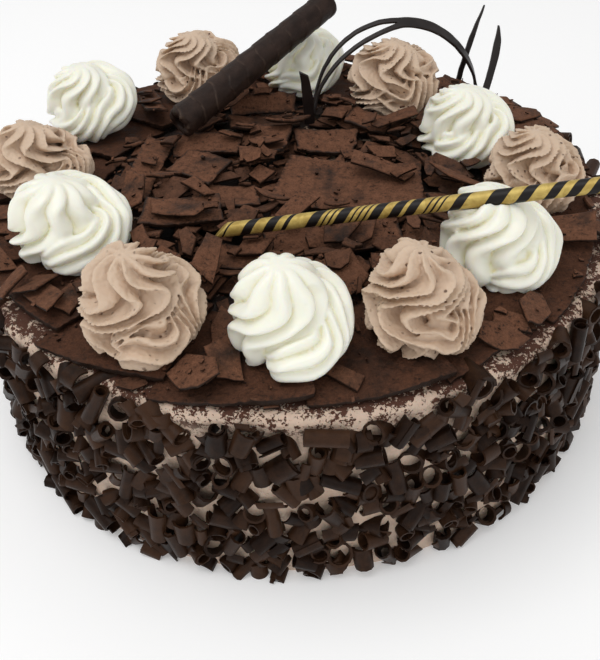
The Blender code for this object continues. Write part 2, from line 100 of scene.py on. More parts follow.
SORT_AXIS = Vector((1.0, 0.7313, 0.3917))
CHIP_ROLL = -math.pi * 0.75

Colour = tuple[float, float, float, float]
Span = tuple[float, float]


def shade_of(red: int, green: int, blue: int) -> Colour:
    """Turn an 8-bit display colour into the linear colour that shaders take.

    Args:
        red: Red, 0 to 255.
        green: Green, 0 to 255.
        blue: Blue, 0 to 255.

    Returns:
        The linear colour with full alpha.
    """
    channels = []
    for value in (red, green, blue):
        share = value / 255.0
        channels.append(share / 12.92 if share <= 0.04045 else ((share + 0.055) / 1.055) ** 2.4)
    return (*channels, 1.0)


def smooth(value: np.ndarray | float, low: float, high: float) -> np.ndarray | float:
    """Rise smoothly from 0 at low to 1 at high."""
    share = np.clip((value - low) / (high - low), 0.0, 1.0)
    return share * share * (3.0 - 2.0 * share)


# --- Node graphs ---


@dataclass(frozen=True)
class Pattern:
    """A noise pattern: how fine it is, and which of its values become 0 and 1."""

    scale: float
    low: float
    high: float
    detail: float = 3.0
    rough: float = 0.55
    warp: float = 0.0


FINE_POWDER = Pattern(1300.0, 0.28, 0.72, rough=0.7)
POWDER_LUMPS = Pattern(430.0, 0.30, 0.70, detail=4.0, rough=0.65)
PITTED_PATCHES = Pattern(170.0, 0.46, 0.62, detail=2.0)


class Graph:
    """A node tree that is filled in by script, for shaders and for geometry."""

    def __init__(self, tree: bpy.types.NodeTree) -> None:
        """Keep the tree that the nodes go into."""
        self.tree = tree

    def add(self, kind: str, inputs: dict | None = None, **settings: object) -> bpy.types.Node:
        """Add one node.

        Args:
            kind: The node's type name.
            inputs: Values or sockets for its inputs, by name or number.
            **settings: Attributes of the node itself.

        Returns:
            The new node.
        """
        node = self.tree.nodes.new(kind)
        for name, value in settings.items():
            setattr(node, name, value)
        for key, value in (inputs or {}).items():
            self.feed(node.inputs[key], value)
        return node

    def feed(self, socket: bpy.types.NodeSocket, value: object) -> None:
        """Link a socket into another, or set its value."""
        if isinstance(value, bpy.types.NodeSocket):
            self.tree.links.new(value, socket)
        else:
            socket.default_value = value

    def math(self, operation: str, first: object, second: object = 0.0) -> bpy.types.NodeSocket:
        """Work out one sum of two values and return its socket."""
        node = self.add("ShaderNodeMath", operation=operation)
        self.feed(node.inputs[0], first)
        self.feed(node.inputs[1], second)
        return node.outputs[0]

    def times(self, first: object, second: object) -> bpy.types.NodeSocket:
        """Multiply two values."""
        return self.math("MULTIPLY", first, second)

    def plus(self, first: object, second: object) -> bpy.types.NodeSocket:
        """Add two values."""
        return self.math("ADD", first, second)

    def minus(self, first: object, second: object) -> bpy.types.NodeSocket:
        """Take the second value from the first."""
        return self.math("SUBTRACT", first, second)

    def between(self, value: object, low: float, high: float) -> bpy.types.NodeSocket:
        """Rise smoothly from 0 to 1 as the value goes from low to high."""
        node = self.add(
            "ShaderNodeMapRange",
            {"Value": value, "From Min": low, "From Max": high},
            interpolation_type="SMOOTHSTEP",
        )
        return node.outputs["Result"]

    def mix(self, share: object, first: object, second: object) -> bpy.types.NodeSocket:
        """Mix two colours by a share and return the colour's socket."""
        node = self.add("ShaderNodeMix", data_type="RGBA")
        self.feed(node.inputs[0], share)
        self.feed(node.inputs[6], first)
        self.feed(node.inputs[7], second)
        return node.outputs[2]

    def noise(self, vector: object, scale: object, detail: float = 3.0, rough: float = 0.55,
              warp: float = 0.0) -> bpy.types.NodeSocket:
        """Add a noise pattern and return its value's socket."""
        node = self.add(
            "ShaderNodeTexNoise",
            {"Vector": vector, "Scale": scale, "Detail": detail, "Roughness": rough,
             "Distortion": warp},
        )
        return node.outputs[0]

    def pattern(self, vector: object, form: Pattern) -> bpy.types.NodeSocket:
        """Add a noise pattern, drawn out to run from 0 to 1."""
        value = self.noise(vector, form.scale, form.detail, form.rough, form.warp)
        return self.between(value, form.low, form.high)

    def place(self) -> bpy.types.NodeSocket:
        """Return the object coordinates' socket."""
        return self.add("ShaderNodeTexCoord").outputs["Object"]

    def attribute(self, name: str) -> bpy.types.NodeSocket:
        """Return the socket of a number that the mesh carries, in a shader."""
        return self.add("ShaderNodeAttribute", attribute_name=name).outputs["Fac"]

    def carried(self, name: str, kind: str = "FLOAT") -> bpy.types.NodeSocket:
        """Return the socket of a value that each point carries, in a geometry tree."""
        node = self.add("GeometryNodeInputNamedAttribute", {"Name": name}, data_type=kind)
        return node.outputs[0]


def shader_group(name: str, inputs: dict[str, object], outputs: dict[str, str]) -> tuple:
    """Start a shader node group with named sockets.

    Args:
        name: The group's name.
        inputs: Each input's name with its default value; a colour has four parts.
        outputs: Each output's name with its socket type.

    Returns:
        The graph, the group's input node and its output node.
    """
    tree = bpy.data.node_groups.new(name, "ShaderNodeTree")
    for title, value in inputs.items():
        kind = "NodeSocketColor" if isinstance(value, tuple) else "NodeSocketFloat"
        tree.interface.new_socket(title, in_out="INPUT", socket_type=kind).default_value = value
    for title, kind in outputs.items():
        tree.interface.new_socket(title, in_out="OUTPUT", socket_type=kind)
    graph = Graph(tree)
    return graph, graph.add("NodeGroupInput"), graph.add("NodeGroupOutput")


def once(builder: Callable[[str], bpy.types.NodeTree]) -> Callable[[], bpy.types.NodeTree]:
    """Make a group's builder return the same group each time it is called."""

    def fetch() -> bpy.types.NodeTree:
        """Return the group, building it on first use."""
        name = builder.__name__
        return bpy.data.node_groups.get(name) or builder(name)

    return fetch


@once
def cocoa_dust(name: str) -> bpy.types.NodeTree:
    """Build the group that lays cocoa powder on faces that look up.

    Args:
        name: The group's name.

    Returns:
        A group with a dusted colour, the powder's mask and its relief.
    """
    graph, given, result = shader_group(
        name,
        {"Bare": (0.02, 0.01, 0.01, 1.0), "Powder": (0.08, 0.04, 0.02, 1.0), "Amount": 1.0,
         "Patches": 60.0},
        {"Colour": "NodeSocketColor", "Mask": "NodeSocketFloat", "Relief": "NodeSocketFloat"},
    )
    place = graph.place()
    normal = graph.add("ShaderNodeNewGeometry").outputs["Normal"]
    upward = graph.add("ShaderNodeSeparateXYZ", {0: normal}).outputs[2]
    facing = graph.between(upward, 0.05, 0.75)
    patches = graph.noise(place, given.outputs["Patches"], 4.0, 0.65)
    fine, lumps = graph.pattern(place, FINE_POWDER), graph.pattern(place, POWDER_LUMPS)
    cover = graph.times(facing, graph.between(patches, 0.24, 0.52))
    cover = graph.times(cover, given.outputs["Amount"])
    both = graph.plus(fine, lumps)
    cover = graph.times(cover, graph.between(both, 0.10, 0.62))
    tone = graph.add(
        "ShaderNodeHueSaturation",
        {"Color": given.outputs["Powder"], "Value": graph.plus(0.60, graph.times(both, 0.42))},
    ).outputs[0]
    graph.feed(result.inputs["Colour"], graph.mix(cover, given.outputs["Bare"], tone))
    graph.feed(result.inputs["Mask"], cover)
    relief = graph.plus(graph.times(fine, cover), lumps)
    graph.feed(result.inputs["Relief"], relief)
    return graph.tree


@once
def chocolate_grain(name: str) -> bpy.types.NodeTree:
    """Build the group for scraped chocolate: bloom, fine scratches and small dents.

    Args:
        name: The group's name.

    Returns:
        A group with a colour, a roughness and a relief.
    """
    graph, given, result = shader_group(
        name,
        {"Dark": (0.01, 0.01, 0.01, 1.0), "Light": (0.05, 0.04, 0.03, 1.0), "Tone": 0.5,
         "Shine": 0.45, "Size": 300.0},
        {"Colour": "NodeSocketColor", "Roughness": "NodeSocketFloat", "Relief": "NodeSocketFloat"},
    )
    place = graph.place()
    broad = graph.noise(place, given.outputs["Size"], 4.0, 0.6)
    fine = graph.noise(place, 1900.0, 3.0, 0.65)
    share = graph.plus(given.outputs["Tone"], graph.minus(broad, 0.5))
    share = graph.plus(share, graph.times(graph.minus(fine, 0.5), 0.4))
    share = graph.between(share, 0.0, 1.0)
    graph.feed(
        result.inputs["Colour"], graph.mix(share, given.outputs["Dark"], given.outputs["Light"])
    )
    dull = graph.plus(given.outputs["Shine"], graph.times(broad, 0.22))
    graph.feed(result.inputs["Roughness"], dull)
    graph.feed(result.inputs["Relief"], graph.plus(broad, graph.times(fine, 0.4)))
    return graph.tree


@once
def whipped_surface(name: str) -> bpy.types.NodeTree:
    """Build the group for whipped cream: soft unevenness, bubbles and small pits.

    Args:
        name: The group's name.

    Returns:
        A group with a tint share, a mask of pits and a relief.
    """
    graph, given, result = shader_group(
        name,
        {"Pits": 0.5, "Pit size": 380.0, "Grain": 900.0},
        {"Tint": "NodeSocketFloat", "Pits": "NodeSocketFloat", "Relief": "NodeSocketFloat"},
    )
    place = graph.place()
    broad = graph.noise(place, 70.0, 3.0, 0.5)
    grain = graph.noise(place, given.outputs["Grain"], 4.0, 0.6)
    near = graph.add(
        "ShaderNodeTexVoronoi", {"Vector": place, "Scale": given.outputs["Pit size"]}
    ).outputs["Distance"]
    pit = graph.minus(1.0, graph.between(near, 0.10, 0.26))
    pit = graph.times(graph.times(pit, graph.pattern(place, PITTED_PATCHES)), given.outputs["Pits"])
    graph.feed(result.inputs["Tint"], broad)
    graph.feed(result.inputs["Pits"], pit)
    relief = graph.minus(graph.times(grain, 0.35), pit)
    graph.feed(result.inputs["Relief"], relief)
    return graph.tree


# --- Finishes ---


class Surface:
    """A material with its Principled shader, ready for its pattern."""

    def __init__(self, name: str, **constants: object) -> None:
        """Make the material and set the values that are the same all over."""
        self.material = bpy.data.materials.new(name)
        self.material.use_nodes = True
        self.graph = Graph(self.material.node_tree)
        self.shader = self.material.node_tree.nodes["Principled BSDF"]
        for socket, value in constants.items():
            self.shader.inputs[socket.replace("_", " ")].default_value = value

    def group(self, tree: bpy.types.NodeTree, **inputs: object) -> bpy.types.Node:
        """Place a shader group with its own values."""
        named = {key.replace("_", " "): value for key, value in inputs.items()}
        node = self.graph.add("ShaderNodeGroup", node_tree=tree)
        for key, value in named.items():
            self.graph.feed(node.inputs[key], value)
        return node

    def paint(self, **sockets: bpy.types.NodeSocket) -> None:
        """Link patterns into the shader's inputs."""
        for name, socket in sockets.items():
            self.graph.feed(self.shader.inputs[name.replace("_", " ")], socket)

    def bump(self, height: bpy.types.NodeSocket, distance: float, strength: float = 1.0) -> None:
        """Give the surface a fine relief."""
        node = self.graph.add(
            "ShaderNodeBump", {"Height": height, "Distance": distance, "Strength": strength}
        )
        self.graph.feed(self.shader.inputs["Normal"], node.outputs["Normal"])


@dataclass(frozen=True)
class CoatCreamFinish:
    """Pinkish-beige cream, with cocoa that has drifted over the rim of the top."""

    cream: Colour = shade_of(216, 192, 172)
    shadow: Colour = shade_of(188, 162, 142)
    cocoa: Colour = shade_of(78, 45, 30)
    crust: Colour = shade_of(40, 26, 20)
    dusted_inside: float = 0.1140
    clean_outside: float = 0.1255
    crust_inside: float = 0.1085
    crust_outside: float = 0.1125
    rim_levels: Span = (0.063, 0.073)
    grains: Pattern = Pattern(900.0, 0.25, 0.75, rough=0.7, warp=0.4)
    clumps: Pattern = Pattern(230.0, 0.25, 0.75, detail=4.0, rough=0.65, warp=0.8)
    crust_patches: Pattern = Pattern(95.0, 0.34, 0.42, detail=2.0)
    grain_share: float = 0.48
    clump_share: float = 0.52
    drift_share: float = 0.38
    speckled: Span = (0.69, 0.73)

    def material(self) -> bpy.types.Material:
        """Make the material."""
        surface = Surface("coating_cream", Subsurface_Weight=0.12, Subsurface_Scale=0.002)
        graph = surface.graph
        place = graph.place()
        parts = graph.add("ShaderNodeSeparateXYZ", {0: place})
        flat = graph.add("ShaderNodeCombineXYZ", {0: parts.outputs[0], 1: parts.outputs[1]})
        reach = graph.add(
            "ShaderNodeVectorMath", {0: flat.outputs[0]}, operation="LENGTH"
        ).outputs["Value"]
        whipped = surface.group(whipped_surface(), Pits=0.35, Pit_size=420.0, Grain=700.0)
        drift = graph.times(graph.minus(graph.noise(place, 55.0, 3.0), 0.5), 0.010)
        line = graph.plus(reach, drift)
        inside = graph.minus(1.0, graph.between(line, self.dusted_inside, self.clean_outside))
        high = graph.between(parts.outputs[2], *self.rim_levels)
        grains = graph.times(graph.pattern(place, self.grains), self.grain_share)
        clumps = graph.times(graph.pattern(place, self.clumps), self.clump_share)
        amount = graph.plus(graph.times(inside, self.drift_share), graph.plus(grains, clumps))
        speckles = graph.times(graph.between(amount, *self.speckled), high)
        tint = graph.mix(whipped.outputs["Tint"], self.shadow, self.cream)
        dusted = graph.mix(speckles, tint, self.cocoa)
        hidden = graph.minus(1.0, graph.between(line, self.crust_inside, self.crust_outside))
        hidden = graph.times(hidden, graph.pattern(place, self.crust_patches))
        surface.paint(
            Base_Color=graph.mix(graph.times(hidden, high), dusted, self.crust),
            Roughness=graph.plus(0.55, graph.times(speckles, 0.35)),
        )
        lumps = graph.times(graph.noise(place, 260.0, 4.0, 0.6), 1.4)
        relief = graph.plus(graph.times(speckles, 0.5), lumps)
        relief = graph.plus(whipped.outputs["Relief"], relief)
        surface.bump(relief, 0.0008)
        return surface.material


@dataclass(frozen=True)
class ChocolateFinish:
    """Bare dark chocolate with a faint bloom, and where asked a painted highlight along edges that the
    mesh marks.
    """

    name: str = "chocolate"
    dark: Colour = shade_of(24, 12, 6)
    light: Colour = shade_of(64, 42, 28)
    tone: float = 0.42
    shine: float = 0.30
    gleam: float = 0.11
    size: float = 260.0
    relief: float = 0.00012
    # Painted highlight: this pale colour is mixed in, in patches, along edges that the mesh marks.
    worn_shade: Colour = shade_of(104, 86, 74)
    worn: float = 0.0
    rubbed: Pattern = Pattern(190.0, 0.38, 0.60)
    uses_tone: bool = False

    def material(self) -> bpy.types.Material:
        """Make the material; pieces that carry a tone each get their own shade."""
        surface = Surface(self.name, Specular_IOR_Level=self.gleam)
        graph = surface.graph
        tone = graph.attribute("tone") if self.uses_tone else self.tone
        grain = surface.group(
            chocolate_grain(), Dark=self.dark, Light=self.light, Tone=tone, Shine=self.shine,
            Size=self.size,
        )
        colour = grain.outputs["Colour"]
        # Painted highlight along the marked edges.
        if self.worn:
            rubbed = graph.pattern(graph.place(), self.rubbed)
            share = graph.times(graph.attribute("edge"), rubbed)
            colour = graph.mix(graph.times(share, self.worn), colour, self.worn_shade)
        surface.paint(Base_Color=colour, Roughness=grain.outputs["Roughness"])
        surface.bump(grain.outputs["Relief"], self.relief)
        return surface.material


@dataclass(frozen=True)
class CocoaShardFinish:
    """Dark chocolate plates with cocoa powder on whatever looks up, and less powder near marked edges:
    partly bare broken edges, partly painted shade along the seams between plates.
    """

    name: str = "cocoa_dusted_chocolate"
    dark: Colour = shade_of(24, 14, 9)
    light: Colour = shade_of(50, 34, 25)
    powder: Colour = shade_of(111, 75, 56)
    amount: float = 0.95
    gleam: float = 0.16
    # How much powder comes off near marked edges: partly bare broken edges, partly painted shade along
    # the seams.
    wear: float = 1.0
    rubbed: Pattern = Pattern(210.0, 0.30, 0.55, rough=0.6)
    uses_tone: bool = False

    def material(self) -> bpy.types.Material:
        """Make the material; small shards carry how much powder each holds."""
        surface = Surface(self.name, Specular_IOR_Level=self.gleam)
        graph = surface.graph
        amount = graph.attribute("tone") if self.uses_tone else self.amount
        # Less powder near marked edges shows the dark chocolate: partly bare broken edges, partly
        # painted shade.
        worn = graph.times(graph.attribute("edge"), graph.pattern(graph.place(), self.rubbed))
        amount = graph.times(amount, graph.minus(1.0, graph.times(worn, self.wear)))
        grain = surface.group(
            chocolate_grain(), Dark=self.dark, Light=self.light, Tone=0.4, Shine=0.34, Size=240.0
        )
        dust = surface.group(
            cocoa_dust(), Bare=grain.outputs["Colour"], Powder=self.powder, Amount=amount,
            Patches=55.0,
        )
        dull = graph.times(dust.outputs["Mask"], 0.45)
        surface.paint(
            Base_Color=dust.outputs["Colour"],
            Roughness=graph.plus(grain.outputs["Roughness"], dull),
        )
        surface.bump(graph.plus(dust.outputs["Relief"], grain.outputs["Relief"]), 0.00022)
        return surface.material


@dataclass(frozen=True)
class BedFinish:
    """Fine broken chocolate, darker than the shards' bare chocolate as painted shade for the gaps
    under them, with the cream under it showing in a few places.
    """

    # Partly the fine chocolate's own colour, partly painted shade for the gaps under and between the
    # shards.
    dark: Colour = shade_of(12, 7, 5)
    light: Colour = shade_of(40, 26, 18)
    cream: Colour = shade_of(176, 150, 130)
    bare_patches: Pattern = Pattern(85.0, 0.60, 0.64, warp=0.6)
    grit: Pattern = Pattern(520.0, 0.36, 0.50, rough=0.65)

    def material(self) -> bpy.types.Material:
        """Make the material."""
        surface = Surface("fine_chocolate", Specular_IOR_Level=0.12)
        graph = surface.graph
        place = graph.place()
        grain = surface.group(
            chocolate_grain(), Dark=self.dark, Light=self.light, Tone=0.4, Shine=0.4, Size=300.0
        )
        patches, grit = graph.pattern(place, self.bare_patches), graph.pattern(place, self.grit)
        surface.paint(
            Base_Color=graph.mix(
                graph.times(patches, grit), grain.outputs["Colour"], self.cream),
            Roughness=grain.outputs["Roughness"],
        )
        surface.bump(graph.plus(grain.outputs["Relief"], patches), 0.0004)
        return surface.material


@dataclass(frozen=True)
class PipedCreamFinish:
    """Whipped cream as it leaves the nozzle, with painted shade inside its grooves and in its small
    pits.
    """

    name: str
    crest: Colour
    # Painted shade: mixed in by how deep each point lies in a groove.
    groove: Colour
    # Painted shade: darkens the small pits.
    pit: Colour
    pits: float
    pit_size: float
    roughness: float
    relief: float
    scatter: float

    def material(self) -> bpy.types.Material:
        """Make the material; the mesh carries how deep each point lies in a groove."""
        surface = Surface(
            self.name, Subsurface_Weight=self.scatter, Subsurface_Scale=0.003,
            Subsurface_Radius=(1.0, 0.8, 0.5),
        )
        graph = surface.graph
        whipped = surface.group(
            whipped_surface(), Pits=self.pits, Pit_size=self.pit_size, Grain=800.0
        )
        # Painted shade in the grooves, by their depth.
        depth = graph.attribute("groove")
        shift = graph.times(graph.minus(whipped.outputs["Tint"], 0.5), 0.5)
        share = graph.between(graph.plus(depth, shift), 0.0, 1.0)
        tint = graph.mix(share, self.crest, self.groove)
        surface.paint(
            # Painted shade in the pits.
            Base_Color=graph.mix(whipped.outputs["Pits"], tint, self.pit),
            Roughness=graph.plus(self.roughness, graph.times(whipped.outputs["Tint"], 0.15)),
        )
        surface.bump(whipped.outputs["Relief"], self.relief)
        return surface.material


@dataclass(frozen=True)
class StripedFinish:
    """Gold lustre over dark chocolate, in bands that the mesh carries."""

    gold: Colour = shade_of(203, 178, 102)
    pale: Colour = shade_of(166, 138, 70)
    dark: Colour = shade_of(17, 11, 10)

    def material(self) -> bpy.types.Material:
        """Make the material."""
        surface = Surface("gold_stripes", Specular_IOR_Level=0.28)
        graph = surface.graph
        place = graph.place()
        brush = graph.noise(place, 240.0, 4.0, 0.6, 0.8)
        fine = graph.noise(place, 1600.0, 3.0, 0.6)
        band = graph.plus(graph.attribute("band"), graph.times(graph.minus(fine, 0.5), 0.15))
        is_dark = graph.between(band, 0.44, 0.56)
        lustre = graph.mix(graph.between(brush, 0.3, 0.7), self.pale, self.gold)
        surface.paint(
            Base_Color=graph.mix(is_dark, lustre, self.dark),
            Metallic=graph.times(graph.minus(1.0, is_dark), 0.35),
            Roughness=graph.plus(0.34, graph.times(brush, 0.2)),
        )
        surface.bump(graph.plus(brush, graph.times(is_dark, -0.6)), 0.00012)
        return surface.material


@dataclass(frozen=True)
class FloorFinish:
    """Matt pale studio floor."""

    colour: Colour = shade_of(246, 246, 246)

    def material(self) -> bpy.types.Material:
        """Make the material."""
        surface = Surface(
            "studio_floor", Base_Color=self.colour, Roughness=0.9,
            Emission_Color=self.colour, Emission_Strength=0.17,
        )
        surface.shader.inputs["Specular IOR Level"].default_value = 0.1
        return surface.material


# --- Meshes ---


def linked(name: str, data: bpy.types.ID) -> bpy.types.Object:
    """Make an object of the given data and link it to the scene."""
    obj = bpy.data.objects.new(name, data)
    bpy.context.scene.collection.objects.link(obj)
    return obj


def new_object(name: str, points: Iterable, faces: Iterable, rounded: bool = True) -> bpy.types.Object:
    """Make an object from points and faces.

    Args:
        name: The object's name.
        points: Corner points, in metres.
        faces: Corner numbers of each face.
        rounded: Whether its faces are smooth-shaded.

    Returns:
        The object, linked to the scene.
    """
    mesh = bpy.data.meshes.new(name)
    mesh.from_pydata([tuple(point) for point in points], [], [tuple(face) for face in faces])
    if rounded:
        mesh.shade_smooth()
    return linked(name, mesh)


def points_of(obj: bpy.types.Object) -> np.ndarray:
    """Read an object's vertices as an array of rows."""
    flat = np.empty(len(obj.data.vertices) * 3)
    obj.data.vertices.foreach_get("co", flat)
    return flat.reshape(-1, 3)


def set_points(obj: bpy.types.Object, points: np.ndarray) -> None:
    """Write an object's vertices from an array of rows."""
    obj.data.vertices.foreach_set("co", points.ravel())
    obj.data.update()


def carry(obj: bpy.types.Object, name: str, values: np.ndarray, kind: str = "FLOAT") -> None:
    """Store a value on each vertex.

    Args:
        obj: The object.
        name: The attribute's name.
        values: One number or one row of three for each vertex.
        kind: FLOAT, INT or FLOAT_VECTOR.
    """
    attribute = obj.data.attributes.new(name, kind, "POINT")
    field = "vector" if kind == "FLOAT_VECTOR" else "value"
    cast = np.int32 if kind == "INT" else np.float32
    attribute.data.foreach_set(field, np.asarray(values).astype(cast).ravel())


def settle_modifiers(obj: bpy.types.Object) -> bpy.types.Object:
    """Turn an object and its modifiers into one plain mesh."""
    depsgraph = bpy.context.evaluated_depsgraph_get()
    mesh = bpy.data.meshes.new_from_object(obj.evaluated_get(depsgraph))
    obj.modifiers.clear()
    obj.data = mesh
    mesh.name = obj.name
    return obj


def grid_faces(rows: int, columns: int, wraps: bool) -> list[tuple[int, int, int, int]]:
    """List the faces of a grid of points.

    Args:
        rows: Rows of points.
        columns: Points in each row.
        wraps: Whether the last column joins the first.

    Returns:
        The four corner numbers of each face, facing out where columns run
        counter-clockwise seen from the end that the rows run towards.
    """
    faces = []
    for row in range(rows - 1):
        for column in range(columns if wraps else columns - 1):
            after = (column + 1) % columns
            start, end = row * columns, (row + 1) * columns
            faces.append((start + column, start + after, end + after, end + column))
    return faces


def tube(name: str, rings: np.ndarray) -> bpy.types.Object:
    """Close a stack of rings into a solid.

    Args:
        name: The object's name.
        rings: Points by ring, counter-clockwise seen from the last ring's side.

    Returns:
        The object, with a fan over each end.
    """
    count, columns = rings.shape[:2]
    points = list(rings.reshape(-1, 3))
    faces = grid_faces(count, columns, True)
    for ring, flips in ((0, True), (count - 1, False)):
        centre = len(points)
        points.append(rings[ring].mean(axis=0))
        for column in range(columns):
            pair = (ring * columns + column, ring * columns + (column + 1) % columns)
            faces.append((*(pair[::-1] if flips else pair), centre))
    return new_object(name, points, faces)


def dress(obj: bpy.types.Object, material: bpy.types.Material, nodes: Iterable[str]) -> None:
    """Finish a piece: its material, its body and the nodes it stands for.

    Args:
        obj: The piece.
        material: Its material.
        nodes: CAD nodes that the piece replaces.
    """
    obj.data.materials.clear()
    obj.data.materials.append(material)
    obj.data.polygons.foreach_set("material_index", [0] * len(obj.data.polygons))
    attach(obj, BODY)
    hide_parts(*nodes)
    triangles = sum(len(face.vertices) - 2 for face in obj.data.polygons)
    LOG.info("%s: %d triangles", obj.name, triangles)


def cad_points(node: str) -> np.ndarray:
    """Read the corner points of a CAD node."""
    return points_of(frame["nodes"][node])


def cad_copy(node: str, name: str) -> bpy.types.Object:
    """Copy a CAD node's mesh, with its loose triangles merged."""
    bm = bmesh.new()
    bm.from_mesh(frame["nodes"][node].data)
    bmesh.ops.remove_doubles(bm, verts=bm.verts, dist=1e-6)
    mesh = bpy.data.meshes.new(name)
    bm.to_mesh(mesh)
    bm.free()
    return linked(name, mesh)


def cad_tree(node: str) -> BVHTree:
    """Make a search tree over a CAD node's faces."""
    mesh = frame["nodes"][node].data
    points = [vertex.co.copy() for vertex in mesh.vertices]
    return BVHTree.FromPolygons(points, [tuple(face.vertices) for face in mesh.polygons])


def nodes_named(*starts: str) -> list[str]:
    """List the CAD nodes whose names start with any of the given words."""
    return sorted(name for name in frame["nodes"] if name.startswith(starts))


@dataclass(frozen=True)
class Axis:
    """A straight piece's middle line, from its low end to its high end."""

    low: Vector
    high: Vector

    @classmethod
    def of(cls, node: str) -> "Axis":
        """Find the middle line of a long CAD node."""
        points = cad_points(node)
        middle = points.mean(axis=0)
        direction = np.linalg.svd(points - middle, full_matrices=False)[2][0]
        direction *= 1.0 if direction[2] > 0 else -1.0
        along = (points - middle) @ direction
        return cls(
            Vector(middle + direction * along.min()), Vector(middle + direction * along.max())
        )

    @property
    def length(self) -> float:
        """Return the length."""
        return (self.high - self.low).length

    def turns(self) -> tuple[np.ndarray, np.ndarray, np.ndarray]:
        """Return the direction along and two directions across, the last one up."""
        along = (self.high - self.low).normalized()
        side = along.cross(UP).normalized()
        return np.array(along), np.array(side), np.array(side.cross(along))


# --- Scattering ---


def scatter_tree() -> bpy.types.NodeTree:
    """Build the geometry tree that puts one of several shapes on each point.

    Returns:
        A tree with named inputs for the shapes and the material. Each point
        carries its shape's number, its turn and its size.
    """
    tree = bpy.data.node_groups.new("scatter", "GeometryNodeTree")
    face = tree.interface
    face.new_socket("Points", in_out="INPUT", socket_type="NodeSocketGeometry")
    face.new_socket("Shapes", in_out="INPUT", socket_type="NodeSocketCollection")
    face.new_socket("Finish", in_out="INPUT", socket_type="NodeSocketMaterial")
    face.new_socket("Geometry", in_out="OUTPUT", socket_type="NodeSocketGeometry")
    graph = Graph(tree)
    given, result = graph.add("NodeGroupInput"), graph.add("NodeGroupOutput")
    shapes = graph.add(
        "GeometryNodeCollectionInfo",
        {"Collection": given.outputs["Shapes"], "Separate Children": True, "Reset Children": True},
    )
    spread = graph.add(
        "GeometryNodeInstanceOnPoints",
        {"Points": given.outputs["Points"], "Instance": shapes.outputs[0],
         "Pick Instance": True, "Instance Index": graph.carried("shape", "INT"),
         "Rotation": graph.carried("turn", "FLOAT_VECTOR"),
         "Scale": graph.carried("size", "FLOAT_VECTOR")},
    )
    real = graph.add("GeometryNodeRealizeInstances", {"Geometry": spread.outputs[0]})
    finish = graph.add(
        "GeometryNodeSetMaterial",
        {"Geometry": real.outputs[0], "Material": given.outputs["Finish"]},
    )
    graph.feed(result.inputs[0], finish.outputs[0])
    return tree


def add_tree(obj: bpy.types.Object, tree: bpy.types.NodeTree, **values: object) -> None:
    """Add a geometry tree to an object and set the tree's named inputs."""
    modifier = obj.modifiers.new(tree.name, "NODES")
    modifier.node_group = tree
    for item in tree.interface.items_tree:
        if item.in_out == "INPUT" and item.name in values:
            modifier[item.identifier] = values[item.name]


@dataclass
class Scattering:
    """Loose things of one kind: where each lies, how it is turned and which shape it is."""

    places: list[Vector]
    turns: list[Euler]
    sizes: list[tuple[float, float, float]]
    shapes: list[int]
    tones: list[float]

    @classmethod
    def empty(cls) -> "Scattering":
        """Start with nothing placed."""
        return cls([], [], [], [], [])

    def put(self, place: Vector, turn: Matrix, size: tuple[float, float, float], shape: int,
            tone: float) -> None:
        """Add one thing."""
        self.places.append(place)
        self.turns.append(turn.to_euler("XYZ"))
        self.sizes.append(size)
        self.shapes.append(shape)
        self.tones.append(tone)

    def realise(self, name: str, kinds: list[bpy.types.Object],
                material: bpy.types.Material) -> bpy.types.Object:
        """Make one mesh of everything placed.

        Args:
            name: The piece's name.
            kinds: The shapes, which are removed afterwards.
            material: The finish that the tree sets.

        Returns:
            The piece.
        """
        box = bpy.data.collections.new(f"{name}_shapes")
        for number, kind in enumerate(kinds):
            kind.name = f"{name}_{number:03d}"
            bpy.context.scene.collection.objects.unlink(kind)
            box.objects.link(kind)
        piece = new_object(name, self.places, [])
        carry(piece, "turn", np.array([tuple(turn) for turn in self.turns]), "FLOAT_VECTOR")
        carry(piece, "size", np.array(self.sizes), "FLOAT_VECTOR")
        carry(piece, "shape", np.array(self.shapes), "INT")
        carry(piece, "tone", np.array(self.tones))
        tree = bpy.data.node_groups.get("scatter") or scatter_tree()
        add_tree(piece, tree, Shapes=box, Finish=material)
        settle_modifiers(piece)
        for kind in kinds:
            bpy.data.objects.remove(kind)
        bpy.data.collections.remove(box)
        for spare in ("turn", "size", "shape"):
            if spare in piece.data.attributes:
                piece.data.attributes.remove(piece.data.attributes[spare])
        return piece


